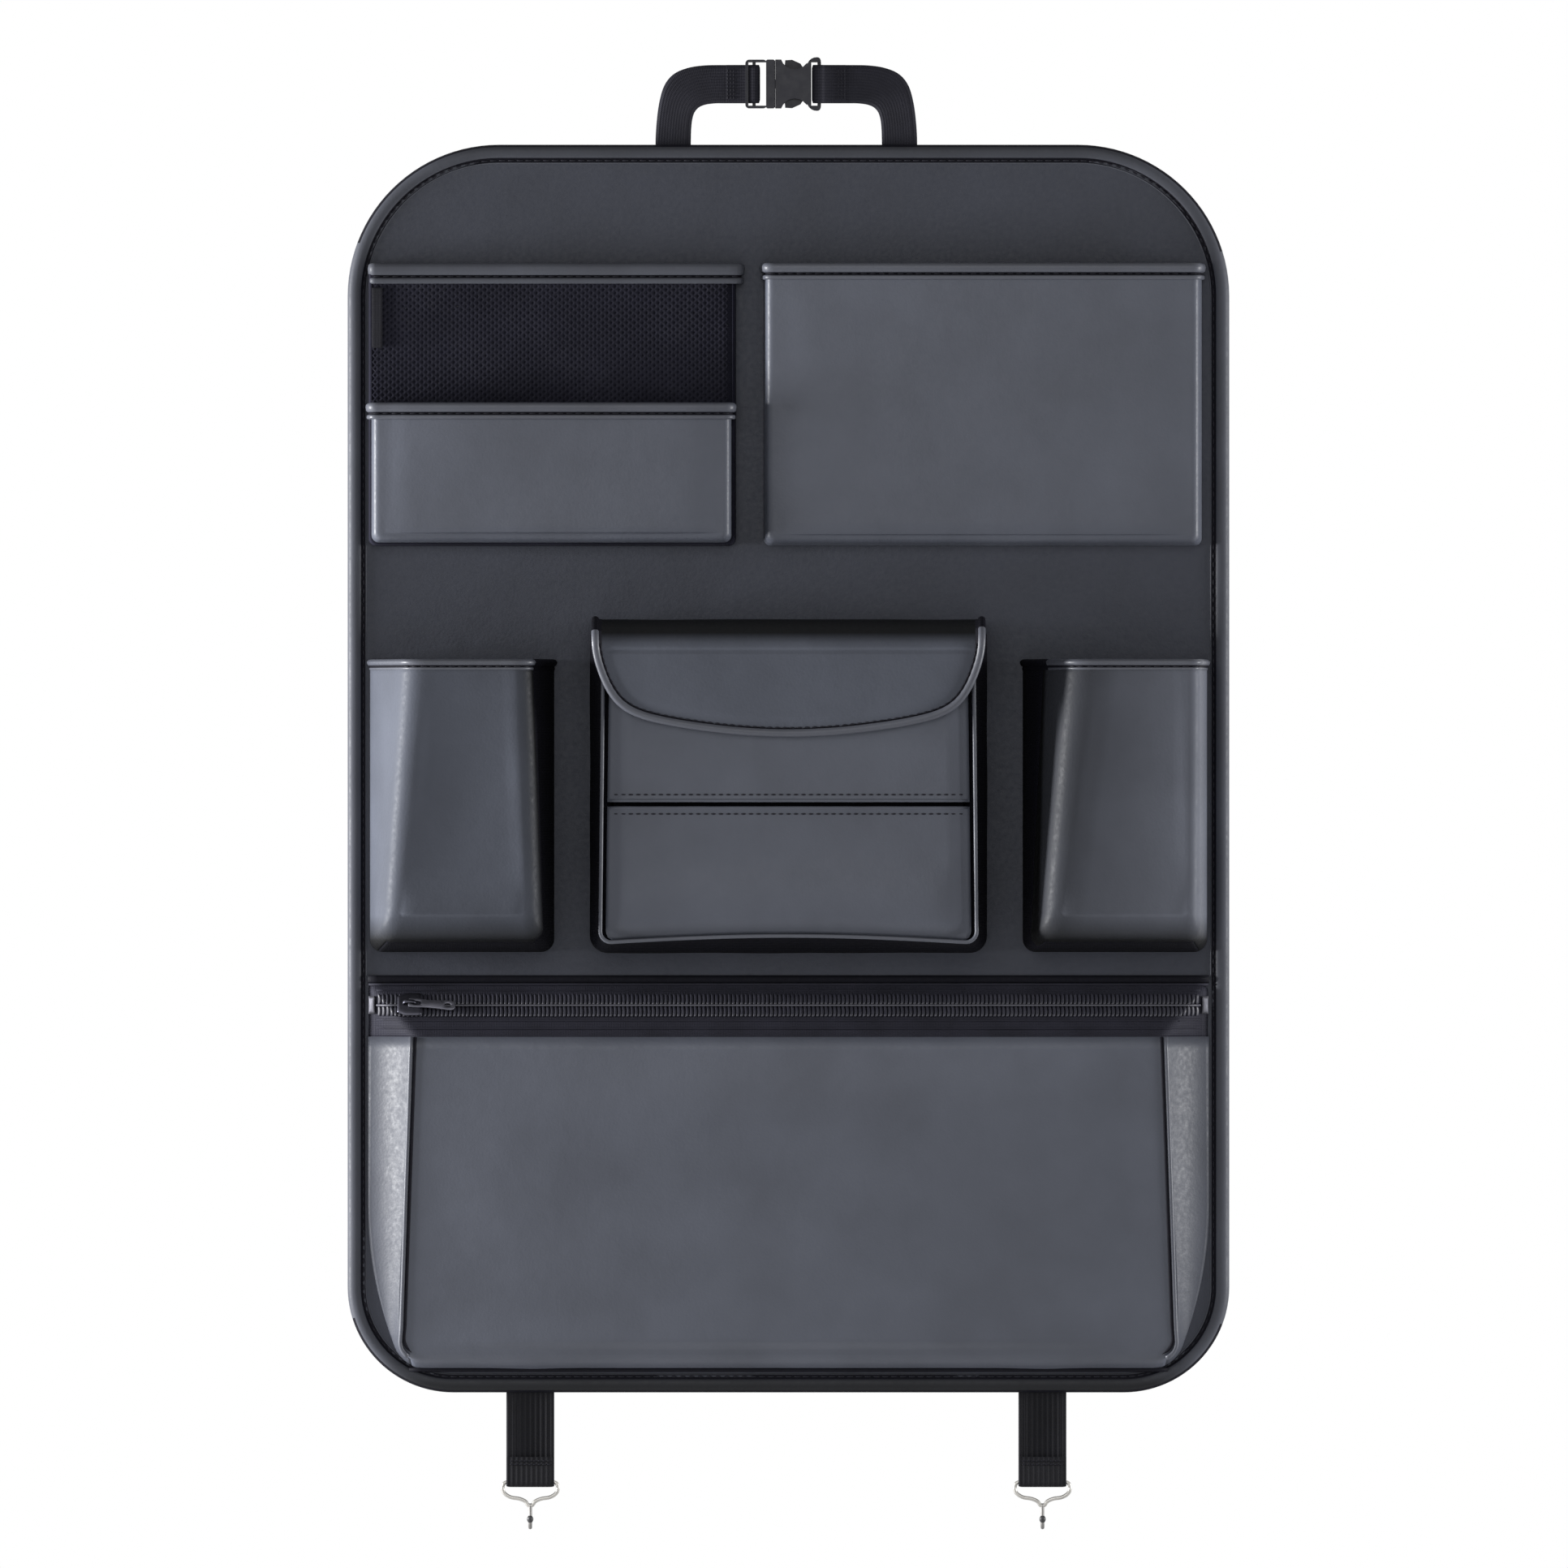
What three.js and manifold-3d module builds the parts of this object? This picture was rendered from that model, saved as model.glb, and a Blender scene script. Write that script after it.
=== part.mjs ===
// A car seat back organizer: a stitched leatherette panel that hangs on a headrest, with sewn pockets,
// a zipped pocket, a buckled top strap and two elastic straps that end in wire hooks.
//
// Millimetres, +Z up. The panel's back lies in the plane y = 0 and its pockets face -Y, so a "depth" below
// is a distance in front of that plane (y = -depth). x = 0 and z = 0 are the middle of the panel.

import * as THREE from "three";
import { mergeVertices } from "three/addons/utils/BufferGeometryUtils.js";
import { ConvexGeometry } from "three/addons/geometries/ConvexGeometry.js";
import Module from "manifold-3d";

const wasm = await Module();
wasm.setup();

// Clearances and sheet thicknesses
const gap = 0.3; // between pieces that lie on each other
const wall = 1.5; // leatherette of the pockets
const skin = 1.0; // binding tape of every hem and edge
const meshWall = 1.0;

// The panel, a sandwich of lining, board and leatherette
const panelWidth = 460;
const panelHeight = 651;
const topRadius = 79;
const bottomRadius = 55;
const liningThickness = 1.0;
const boardThickness = 2.0;
const coverThickness = 1.5;
const bindingWidth = 7;
const bindingRound = 2.4; // rounding of the binding's outer edge
const boardBack = liningThickness + gap;
const boardFront = boardBack + boardThickness;
const coverBack = boardFront + gap;
const face = coverBack + coverThickness; // depth of the panel's front surface
const seat = face + gap; // depth at which sewn-on pieces start
const bindingFront = face + gap + skin;

// The zipped pocket at the foot of the panel
const zipMargin = 10.2; // from the panel's side to the pocket's
const zipFootMargin = 8.9; // from the panel's lower edge to the seam of the pocket's foot
const zipFootRise = 8.6;
const zipFrontHeight = 168.2;
const zipStripHeight = 28.8; // height of the slope that carries the zip
const zipHalfWidth = panelWidth / 2 - zipMargin;
const zipFoot = zipFootMargin - panelHeight / 2;
const zipFrontBottom = zipFoot + zipFootRise;
const zipFrontTop = zipFrontBottom + zipFrontHeight;
const zipStripTop = zipFrontTop + zipStripHeight; // where the slope would leave the panel
const zipDepthTop = 20;
const zipDepthBottom = 8;
const facetRun = 24.5; // width of a side facet, seen from the front, at the top
const facetRunBottom = 18.2;
const zipSeamTop = zipHalfWidth - facetRun;
const zipSeamBottom = zipHalfWidth - facetRunBottom;
const zipFrontRadius = 7;
const weltHeight = 5.4;
const weltRise = 2.6; // welt's top above the top of the slope
const weltTop = zipStripTop + weltRise;
const tapeThickness = 0.8;
const tapeUnderLeather = 5; // how far the lower tape runs behind the pocket's front
const coilThickness = 1.4;
const coilDrop = 12.3; // from the top of the slope to the line where the coils meet
const coilUp = 3.9;
const coilDown = 4.1;
const coilMiddle = zipStripTop - coilDrop;
const coilTop = coilMiddle + coilUp;
const coilBottom = coilMiddle - coilDown;
const coilGap = 0.7;
const coilPitch = 6;
const coilNotch = 0.7;
const stopInset = 0.4;
const stopOuter = zipHalfWidth - stopInset;
const stopLength = 3.8;
const stopThickness = 1.0;

// The cup pockets, given for the left one
const cupMargin = 11.6; // from the panel's side to the pocket's
const cupWidth = 96.2;
const cupHeight = 152.5;
const cupRise = 12.7; // pocket's bottom above the zip's welt
const cupOuterLeanTop = 19.4; // how far the front leans in from the outer side
const cupOuterLeanBottom = 6.9;
const cupInnerLeanTop = 11.8;
const cupInnerLeanBottom = 6.3;
const cupOuter = cupMargin - panelWidth / 2;
const cupInner = cupOuter + cupWidth;
const cupFrontOuterTop = cupOuter + cupOuterLeanTop;
const cupFrontOuterBottom = cupOuter + cupOuterLeanBottom;
const cupFrontInnerTop = cupInner - cupInnerLeanTop;
const cupFrontInnerBottom = cupInner - cupInnerLeanBottom;
const cupBottom = weltTop + cupRise;
const cupTop = cupBottom + cupHeight;
const cupBottomRise = 7;
const cupDepth = 52;
const cupHemHeight = 5.4;
const cupEdgeRadius = 9;
const cupCornerRadius = 7;
const cupGussetShare = 0.8; // share of the pocket's depth that is gusset fabric
const cupGussetRise = 6; // height of the gusset's bottom strip

// The tissue pocket, between the cup pockets
const tissueSpace = 18.6; // from a cup pocket to the tissue pocket
const tissueHalfWidth = -cupInner - tissueSpace;
const tissueRise = 12.2; // pocket's bottom above the zip's welt
const tissueHeight = 166.2;
const tissueBottom = weltTop + tissueRise;
const tissueTop = tissueBottom + tissueHeight;
const tissueDepth = 46;
const tissueTaper = 6;
const tissueCornerRadius = 9;
const tissueSlitRise = 77.8; // slit's middle above the pocket's bottom
const tissueSlit = tissueBottom + tissueSlitRise;
const tissueSlitHeight = 1.6;
const pipingRadius = 1.9;
const flapInset = 1.1;
const flapRise = 8.4;
const flapHalfWidth = tissueHalfWidth - flapInset;
const flapCrown = tissueTop + flapRise;
const flapShoulder = 14;
const flapLength = 61.9;
const flapTip = flapCrown - flapLength;
const flapTipDrop = 10.2; // how far the middle of the flap's edge hangs below its corners
const flapEdgeLow = flapTip + flapTipDrop;
const flapCornerWidth = 26;
const flapSideLength = 28.4;
const flapSideLow = flapCrown - flapSideLength; // where the flap's straight sides end
const flapThickness = 1.5;
const flapPipingWidth = 4.6;
const flapFlange = 20.4; // height of the flange that is sewn to the panel
const flapRoot = flapCrown - flapFlange;
const flapSeamDrop = 17;
const flapSeam = flapCrown - flapSeamDrop;
const grooveWidth = 1.2;
const grooveDepth = 0.5;
const fastenerWidth = 60;
const fastenerHeight = 14;
const fastenerThickness = 1.0;
const fastenerDrop = 42.4;
const fastenerMiddle = flapCrown - fastenerDrop;

// The flat pockets, in the space that is left above
const flatHeight = 147.4;
const flatSpare = panelHeight / 2 - flapCrown - flatHeight;
const flatSpareAbove = 0.622; // share of the spare height that lies above the pockets
const flatTop = panelHeight / 2 - flatSpare * flatSpareAbove;
const flatBottom = flatTop - flatHeight;
const meshMargin = 11; // from the panel's side to the pocket's
const meshWidth = 191.6;
const meshLeft = meshMargin - panelWidth / 2;
const meshRight = meshLeft + meshWidth;
const meshDepth = 8;
const meshTaper = 1.5;
const meshHemHeight = 10.6;
const slimInset = 0.6; // slim pocket inside the edges of the mesh that carries it
const slimDrop = 72.9;
const slimTop = flatTop - slimDrop;
const slimDepth = 9;
const slimTaper = 1.2;
const tabletMargin = 14.4;
const flatSpace = 14.4; // from the mesh pocket to the tablet pocket
const tabletLeft = meshRight + flatSpace;
const tabletRight = panelWidth / 2 - tabletMargin;
const tabletDepth = 13;
const tabletTaper = 2;
const flatHemHeight = 8.5;
const flatCornerRadius = 4;
const flatEdgeRadius = 2.5;
const labelWidth = 5;
const labelHeight = 30;
const labelThickness = 0.8;
const labelDrop = 3; // label below the hem of the mesh pocket

// Zip slider and pull
const sliderFromEnd = 22.2;
const sliderMiddle = sliderFromEnd - zipHalfWidth;
const sliderLength = 12.6;
const sliderHalfWidth = 7.4;
const sliderPlate = 1.3;
const sliderFlange = 0.9;
const bridgeWidth = 1.8;
const bridgeSpan = 6.4;
const bridgeRise = 2.6;
const bridgeBar = 0.9;
const pullLength = 24;
const pullWidth = 6;
const pullThickness = 0.9;
const pullHole = 6;
const pullArm = 1.4;
const pullCrossbar = 0.45;

// Straps
const strapShift = -1.1; // all straps sit this far off the panel's middle
const webWidth = 20;
const webThickness = 1.4;
const webDepth = boardBack + boardThickness / 2; // middle of a strap's thickness
const layerStep = webThickness + gap; // from one webbing layer to the next
const strapTail = 24; // length held inside the panel
const archHeight = 31.6; // panel edge to the middle of the arch's level run
const archFoot = 59; // from the strap's middle to the middle of a leg's foot
const archLegWidth = 18;
const archLean = 3; // how far each leg leans in over its height
const archOuterRadius = 24;
const archInnerRadius = 8;
const elasticWidth = 25;
const elasticPitch = 267.2; // between the two elastic straps
const elasticDrop = 49.4; // panel edge to the elastic's lower end
const elasticHem = 13;

// Buckle, along x from its webbing end, about the strap's middle
const buckleHalf = 12.7;
const buckleBack = 1.2;
const buckleFront = 9.2;
const shellWall = 1.5;
const plugEnd = -21.4;
const plugEndBar = 1.6;
const plugSlotOuter = 2.1;
const plugMidBar = 1.7;
const plugBase = -10.6; // where the plug's slot ends and its block starts
const socketMouth = -5.7;
const socketWaist = 10;
const ringHalf = 14;
const ringEnd = 18.1;
const ringBar = 1.9;
const ringSlot = 3.2;
const slotHalf = webWidth / 2 + 1.3;
const barThickness = 2.0;
const armTip = 9.2;
const armRoot = 9.4;
const armInner = 6.6;
const armThickness = 3.4;
const scallopRadius = 7.5;
const scallopMiddle = 4.4;

// Hooks
const wireRadius = 1.0;
const deeHalf = 14.4; // half the width of the hook's loop, at the wire's middle
const hookBend = 4;
const hookTipRadius = 1.7;
const hookStem = 8; // from the dee's tip to the start of the bend

// Colours and finishes
const finishes = {
  cover: { color: 0x3d3f48, roughness: 0.55, metalness: 0 },
  pocket: { color: 0x50535d, roughness: 0.5, metalness: 0 },
  binding: { color: 0x4a4c56, roughness: 0.5, metalness: 0 },
  gusset: { color: 0x0c0c12, roughness: 0.85, metalness: 0 },
  mesh: { color: 0x1c1c26, roughness: 0.9, metalness: 0 },
  lining: { color: 0x24242c, roughness: 0.95, metalness: 0 },
  board: { color: 0x8a8a88, roughness: 0.8, metalness: 0 },
  webbing: { color: 0x1e1e28, roughness: 0.85, metalness: 0 },
  label: { color: 0x101016, roughness: 0.8, metalness: 0 },
  coil: { color: 0x22222c, roughness: 0.4, metalness: 0 },
  slider: { color: 0x3a3a44, roughness: 0.35, metalness: 0.7 },
  buckle: { color: 0x2e2e38, roughness: 0.45, metalness: 0 },
  wire: { color: 0xc8c8cc, roughness: 0.25, metalness: 1 },
};

// Solids from three.js geometry

function solidOf(geometry) {
  const bare = geometry.index ? geometry.toNonIndexed() : geometry.clone();
  bare.deleteAttribute("normal");
  bare.deleteAttribute("uv");
  const merged = mergeVertices(bare, 1e-4);
  const mesh = new wasm.Mesh({
    numProp: 3,
    vertProperties: merged.attributes.position.array,
    triVerts: new Uint32Array(merged.index.array),
  });
  return new wasm.Manifold(mesh);
}

function geometryOf(solid) {
  const mesh = solid.getMesh();
  const geometry = new THREE.BufferGeometry();
  geometry.setAttribute("position", new THREE.BufferAttribute(mesh.vertProperties, mesh.numProp));
  geometry.setIndex(new THREE.BufferAttribute(mesh.triVerts, 1));
  geometry.computeVertexNormals();
  return geometry;
}

const xAxis = new THREE.Vector3(1, 0, 0);
const frontAxis = new THREE.Vector3(0, -1, 0);
const zAxis = new THREE.Vector3(0, 0, 1);

function extrude(shape, length, segments = 6) {
  return new THREE.ExtrudeGeometry(shape, { depth: length, bevelEnabled: false, curveSegments: segments });
}

// A shape drawn in x and z, from one depth to another.
function frontPlate(shape, from, to, segments) {
  const turn = new THREE.Matrix4().makeBasis(xAxis, zAxis, frontAxis);
  return solidOf(extrude(shape, to - from, segments).applyMatrix4(turn).translate(0, -from, 0));
}

// The same with its edges rounded; the shape is drawn smaller than the plate by the rounding.
function rolledPlate(shape, from, to, round, segments) {
  const turn = new THREE.Matrix4().makeBasis(xAxis, zAxis, frontAxis);
  const rolled = new THREE.ExtrudeGeometry(shape, {
    depth: to - from - 2 * round,
    curveSegments: segments,
    bevelSize: round,
    bevelThickness: round,
    bevelSegments: 2,
  });
  return solidOf(rolled.applyMatrix4(turn).translate(0, -from - round, 0));
}

// A shape drawn in depth and z, from one x to another.
function sidePrism(shape, from, to, segments) {
  const turn = new THREE.Matrix4().makeBasis(frontAxis, zAxis, xAxis.clone().negate());
  return solidOf(extrude(shape, to - from, segments).applyMatrix4(turn).translate(to, 0, 0));
}

// A shape drawn in x and depth, from one z to another.
function planPrism(shape, from, to, segments) {
  const turn = new THREE.Matrix4().makeBasis(xAxis, frontAxis, zAxis.clone().negate());
  return solidOf(extrude(shape, to - from, segments).applyMatrix4(turn).translate(0, 0, to));
}

function block(x0, x1, depth0, depth1, z0, z1) {
  const box = new THREE.BoxGeometry(x1 - x0, depth1 - depth0, z1 - z0);
  return solidOf(box.translate((x0 + x1) / 2, -(depth0 + depth1) / 2, (z0 + z1) / 2));
}

function polygon(points) {
  return new THREE.Shape(points.map(([a, b]) => new THREE.Vector2(a, b)));
}

// A rectangle with its own radius at the top and at the bottom corners.
function roundedRectangle(x0, x1, z0, z1, radiusTop, radiusBottom) {
  const quarter = Math.PI / 2;
  const shape = new THREE.Shape();
  shape.moveTo(x0 + radiusBottom, z0);
  shape.lineTo(x1 - radiusBottom, z0);
  shape.absarc(x1 - radiusBottom, z0 + radiusBottom, radiusBottom, -quarter, 0, false);
  shape.lineTo(x1, z1 - radiusTop);
  shape.absarc(x1 - radiusTop, z1 - radiusTop, radiusTop, 0, quarter, false);
  shape.lineTo(x0 + radiusTop, z1);
  shape.absarc(x0 + radiusTop, z1 - radiusTop, radiusTop, quarter, 2 * quarter, false);
  shape.lineTo(x0, z0 + radiusBottom);
  shape.absarc(x0 + radiusBottom, z0 + radiusBottom, radiusBottom, 2 * quarter, 3 * quarter, false);
  return shape;
}

// The outline of a strip that follows a line of points, with mitred bends.
function ribbon(points, thickness) {
  const line = points.map(([a, b]) => new THREE.Vector2(a, b));
  const sides = [[], []];
  line.forEach((point, i) => {
    const before = i > 0 ? point.clone().sub(line[i - 1]).normalize() : null;
    const after = i < line.length - 1 ? line[i + 1].clone().sub(point).normalize() : null;
    const along = (before || after).clone().add(after || before).normalize();
    const stretch = 1 / along.dot(before || after);
    const across = new THREE.Vector2(-along.y, along.x).multiplyScalar((thickness / 2) * stretch);
    sides[0].push(point.clone().add(across));
    sides[1].unshift(point.clone().sub(across));
  });
  return new THREE.Shape([...sides[0], ...sides[1]]);
}

function circle(radius, sides) {
  const points = [];
  for (let i = 0; i < sides; i += 1) {
    const turn = (2 * Math.PI * i) / sides;
    points.push([radius * Math.cos(turn), radius * Math.sin(turn)]);
  }
  return polygon(points);
}

function tube(curve, radius, sides, steps) {
  return solidOf(new THREE.ExtrudeGeometry(circle(radius, sides), { steps, extrudePath: curve, bevelEnabled: false }));
}

function place(x, depth, z) {
  return new THREE.Vector3(x, -depth, z);
}

const reach = panelHeight; // further than any part of the organizer from its middle
const through = buckleFront * 3; // length of a cutter that passes right through

// The model

const organizer = new THREE.Group();
organizer.name = "seat_back_organizer";

function add(name, finish, solid, parent = organizer) {
  const mesh = new THREE.Mesh(geometryOf(solid), new THREE.MeshStandardMaterial(finishes[finish]));
  mesh.name = name;
  parent.add(mesh);
  return mesh;
}

// The panel

function panelOutline(inset) {
  const x = panelWidth / 2 - inset;
  const z = panelHeight / 2 - inset;
  return roundedRectangle(-x, x, -z, z, topRadius - inset, bottomRadius - inset);
}

const panelTop = panelHeight / 2;
const panelBottom = -panelHeight / 2;
const elasticMiddles = [strapShift - elasticPitch / 2, strapShift + elasticPitch / 2];
const archFeet = [strapShift - archFoot, strapShift + archFoot];

// The room that the strap tails take inside the panel and through its binding.
function strapSlots() {
  const halfThickness = webThickness / 2 + gap;
  const slots = archFeet.map((x) => {
    const half = archLegWidth / 2 + gap;
    const from = panelTop - strapTail - gap;
    return block(x - half, x + half, webDepth - halfThickness, webDepth + halfThickness, from, panelTop + 1);
  });
  elasticMiddles.forEach((x) => {
    const half = elasticWidth / 2 + gap;
    const to = panelBottom + strapTail + gap;
    slots.push(block(x - half, x + half, webDepth - halfThickness, webDepth + halfThickness, panelBottom - 1, to));
  });
  return slots.reduce((all, slot) => all.add(slot));
}

function buildPanel() {
  const slots = strapSlots();
  const cornerSteps = 9;
  const inside = skin + gap;
  add("back_lining", "lining", frontPlate(panelOutline(bindingWidth + gap), 0, liningThickness, cornerSteps));
  const board = frontPlate(panelOutline(inside), boardBack, boardFront, cornerSteps);
  add("inner_board", "board", board.subtract(slots));
  add("front_panel", "cover", frontPlate(panelOutline(inside), coverBack, face, cornerSteps));
  const outer = rolledPlate(panelOutline(bindingRound), 0, bindingFront, bindingRound, cornerSteps);
  const window = frontPlate(panelOutline(bindingWidth), -1, bindingFront + 1, cornerSteps);
  const channel = frontPlate(panelOutline(skin), liningThickness, face + gap, cornerSteps);
  add("edge_binding", "binding", outer.subtract(window).subtract(channel).subtract(slots));
}

// Pockets. A pocket is a convex tray, open to the panel and at its mouth: spec gives its base outline on what
// carries it, its narrower front outline, its depth and the rounding of its edges.

function pocketHull(spec, grow, over = 0, behind = 0) {
  const points = [];
  const rings = 4;
  const cornerSteps = 4;
  const edge = Math.max(spec.edgeRadius + grow, 0.4);
  const corner = Math.max(spec.cornerRadius + grow, 0.4);
  const depth = spec.depth + grow;
  const top = spec.top + over;
  const outlineAt = (distance, inset) => {
    const share = distance / depth;
    const side = (base, front) => base + (front - base) * share;
    const left = side(spec.left, spec.frontLeftTop) - grow + inset;
    const right = side(spec.right, spec.frontRightTop) + grow - inset;
    const leftLow = side(spec.left, spec.frontLeftBottom) - grow + inset;
    const rightLow = side(spec.right, spec.frontRightBottom) + grow - inset;
    const low = side(spec.bottom, spec.frontBottom) - grow + inset;
    const y = spec.seat + distance;
    points.push(place(left, y, top), place(right, y, top));
    for (let i = 0; i <= cornerSteps; i += 1) {
      const turn = (Math.PI / 2) * (i / cornerSteps);
      const out = corner * (1 - Math.sin(turn));
      const up = corner * (1 - Math.cos(turn));
      points.push(place(leftLow + out, y, low + up), place(rightLow - out, y, low + up));
    }
  };
  outlineAt(-behind, 0);
  for (let i = 0; i <= rings; i += 1) {
    const turn = (Math.PI / 2) * (i / rings);
    outlineAt(depth - edge + edge * Math.sin(turn), edge * (1 - Math.cos(turn)));
  }
  return solidOf(new ConvexGeometry(points));
}

function pocketShell(spec) {
  return pocketHull(spec, 0).subtract(pocketHull(spec, -spec.wall, 2, 2));
}

// A hem folded over the pocket's mouth, with the groove that its stitching pulls in.
function pocketHem(spec, height) {
  const outerGrow = gap + skin;
  const innerGrow = -(spec.wall + gap + skin);
  const topGrow = gap + skin;
  const band = (grow, from, to, over) => pocketHull(spec, grow, over).intersect(
    block(-reach, reach, 0, reach, from, to));
  const low = spec.top - height + topGrow;
  const ring = band(outerGrow, low, spec.top + topGrow, topGrow).subtract(pocketHull(spec, innerGrow, 4, 2));
  const slotOuter = pocketHull(spec, gap, gap, 1);
  const slotInner = pocketHull(spec, -(spec.wall + gap), 4, 2);
  const grooveMiddle = low + height * 0.36;
  const groove = band(outerGrow + 2, grooveMiddle - grooveWidth / 2, grooveMiddle + grooveWidth / 2, topGrow)
    .subtract(pocketHull(spec, outerGrow - grooveDepth, 4, 2));
  return ring.subtract(slotOuter.subtract(slotInner)).subtract(groove);
}

function straightPocket(left, right, top, bottom, depth, taper, start, thickness) {
  return {
    left,
    right,
    top,
    bottom,
    depth,
    frontLeftTop: left + taper,
    frontLeftBottom: left + taper,
    frontRightTop: right - taper,
    frontRightBottom: right - taper,
    frontBottom: bottom + taper,
    edgeRadius: flatEdgeRadius,
    cornerRadius: flatCornerRadius,
    seat: start,
    wall: thickness,
  };
}

function buildFlatPockets() {
  const mouth = flatTop - gap - skin;
  const mesh = straightPocket(meshLeft, meshRight, mouth, flatBottom, meshDepth, meshTaper, seat, meshWall);
  add("mesh_pocket", "mesh", pocketShell(mesh));
  add("mesh_pocket_hem", "binding", pocketHem(mesh, meshHemHeight));

  const meshFront = seat + meshDepth;
  const inset = meshTaper + flatEdgeRadius + slimInset;
  const slim = straightPocket(meshLeft + inset, meshRight - inset, slimTop - gap - skin, flatBottom + inset,
    slimDepth, slimTaper, meshFront + gap, wall);
  add("slim_pocket", "pocket", pocketShell(slim));
  add("slim_pocket_hem", "binding", pocketHem(slim, flatHemHeight));

  const labelTop = flatTop - meshHemHeight - labelDrop;
  const labelLeft = meshLeft + inset;
  const label = roundedRectangle(labelLeft, labelLeft + labelWidth, labelTop - labelHeight, labelTop, 0.6, 0.6);
  add("side_label", "label", frontPlate(label, meshFront + gap, meshFront + gap + labelThickness, 3));

  const tablet = straightPocket(tabletLeft, tabletRight, mouth, flatBottom, tabletDepth, tabletTaper, seat, wall);
  add("tablet_pocket", "pocket", pocketShell(tablet));
  add("tablet_pocket_hem", "binding", pocketHem(tablet, flatHemHeight));
}

// One cup pocket. The right one is the left one mirrored, so its spec swaps sides.
function cupSpec(side) {
  const left = {
    base: [cupOuter, cupInner],
    top: [cupFrontOuterTop, cupFrontInnerTop],
    bottom: [cupFrontOuterBottom, cupFrontInnerBottom],
  };
  const pair = ([outer, inner]) => (side === "left" ? [outer, inner] : [-inner, -outer]);
  return {
    left: pair(left.base)[0],
    right: pair(left.base)[1],
    frontLeftTop: pair(left.top)[0],
    frontRightTop: pair(left.top)[1],
    frontLeftBottom: pair(left.bottom)[0],
    frontRightBottom: pair(left.bottom)[1],
    top: cupTop - gap - skin,
    bottom: cupBottom,
    frontBottom: cupBottom + cupBottomRise,
    depth: cupDepth,
    edgeRadius: cupEdgeRadius,
    cornerRadius: cupCornerRadius,
    seat,
    wall,
  };
}

// The part of a cup pocket that is gusset fabric: its inner side and its bottom, near the panel.
function cupGussetRoom(side, slack) {
  const depth = seat + cupDepth * cupGussetShare + slack;
  const middle = (cupOuter + cupInner) / 2;
  const room = polygon([
    [cupOuter + cupCornerRadius - slack, cupBottom - 5],
    [cupInner + 5, cupBottom - 5],
    [cupInner + 5, cupTop + 5],
    [middle + (cupInner - cupOuter) * 0.3 - slack, cupTop + 5],
    [middle + (cupInner - cupOuter) * 0.3 - slack, cupBottom + cupGussetRise + slack],
    [cupOuter + cupCornerRadius - slack, cupBottom + cupGussetRise + slack],
  ]);
  const solid = frontPlate(room, 0, depth);
  return side === "left" ? solid : solid.mirror([1, 0, 0]);
}

function buildCupPocket(side) {
  const spec = cupSpec(side);
  const shell = pocketShell(spec);
  add(`${side}_cup_pocket`, "pocket", shell.subtract(cupGussetRoom(side, gap)));
  add(`${side}_cup_gusset`, "gusset", shell.intersect(cupGussetRoom(side, 0)));
  add(`${side}_cup_hem`, "binding", pocketHem(spec, cupHemHeight));
}

// The tissue pocket: a gusset round a slit front, edged with piping, under a flap.

const tissueFront = seat + tissueDepth;
const tissueFrontHalf = tissueHalfWidth - tissueTaper;
const tissueFrontLow = tissueBottom + tissueTaper;

// The piping's outline from one top end round the pocket's lower corners to the other, inset by round.
function tissuePipingOutline(round) {
  const quarter = Math.PI / 2;
  const outer = tissueFrontHalf - round;
  const inner = tissueFrontHalf - 2 * pipingRadius + round;
  const low = tissueFrontLow + round;
  const shelf = tissueFrontLow + 2 * pipingRadius - round;
  const middle = tissueFrontLow + tissueCornerRadius;
  const outerRadius = middle - low;
  const innerRadius = middle - shelf;
  const shape = new THREE.Shape();
  shape.moveTo(-outer, tissueTop - round);
  shape.lineTo(-outer, middle);
  shape.absarc(-outer + outerRadius, middle, outerRadius, 2 * quarter, 3 * quarter, false);
  shape.lineTo(outer - outerRadius, low);
  shape.absarc(outer - outerRadius, middle, outerRadius, -quarter, 0, false);
  shape.lineTo(outer, tissueTop - round);
  shape.lineTo(inner, tissueTop - round);
  shape.lineTo(inner, middle);
  shape.absarc(inner - innerRadius, middle, innerRadius, 0, -quarter, true);
  shape.lineTo(-inner + innerRadius, shelf);
  shape.absarc(-inner + innerRadius, middle, innerRadius, -quarter, -2 * quarter, true);
  shape.lineTo(-inner, tissueTop - round);
  return shape;
}

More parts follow.
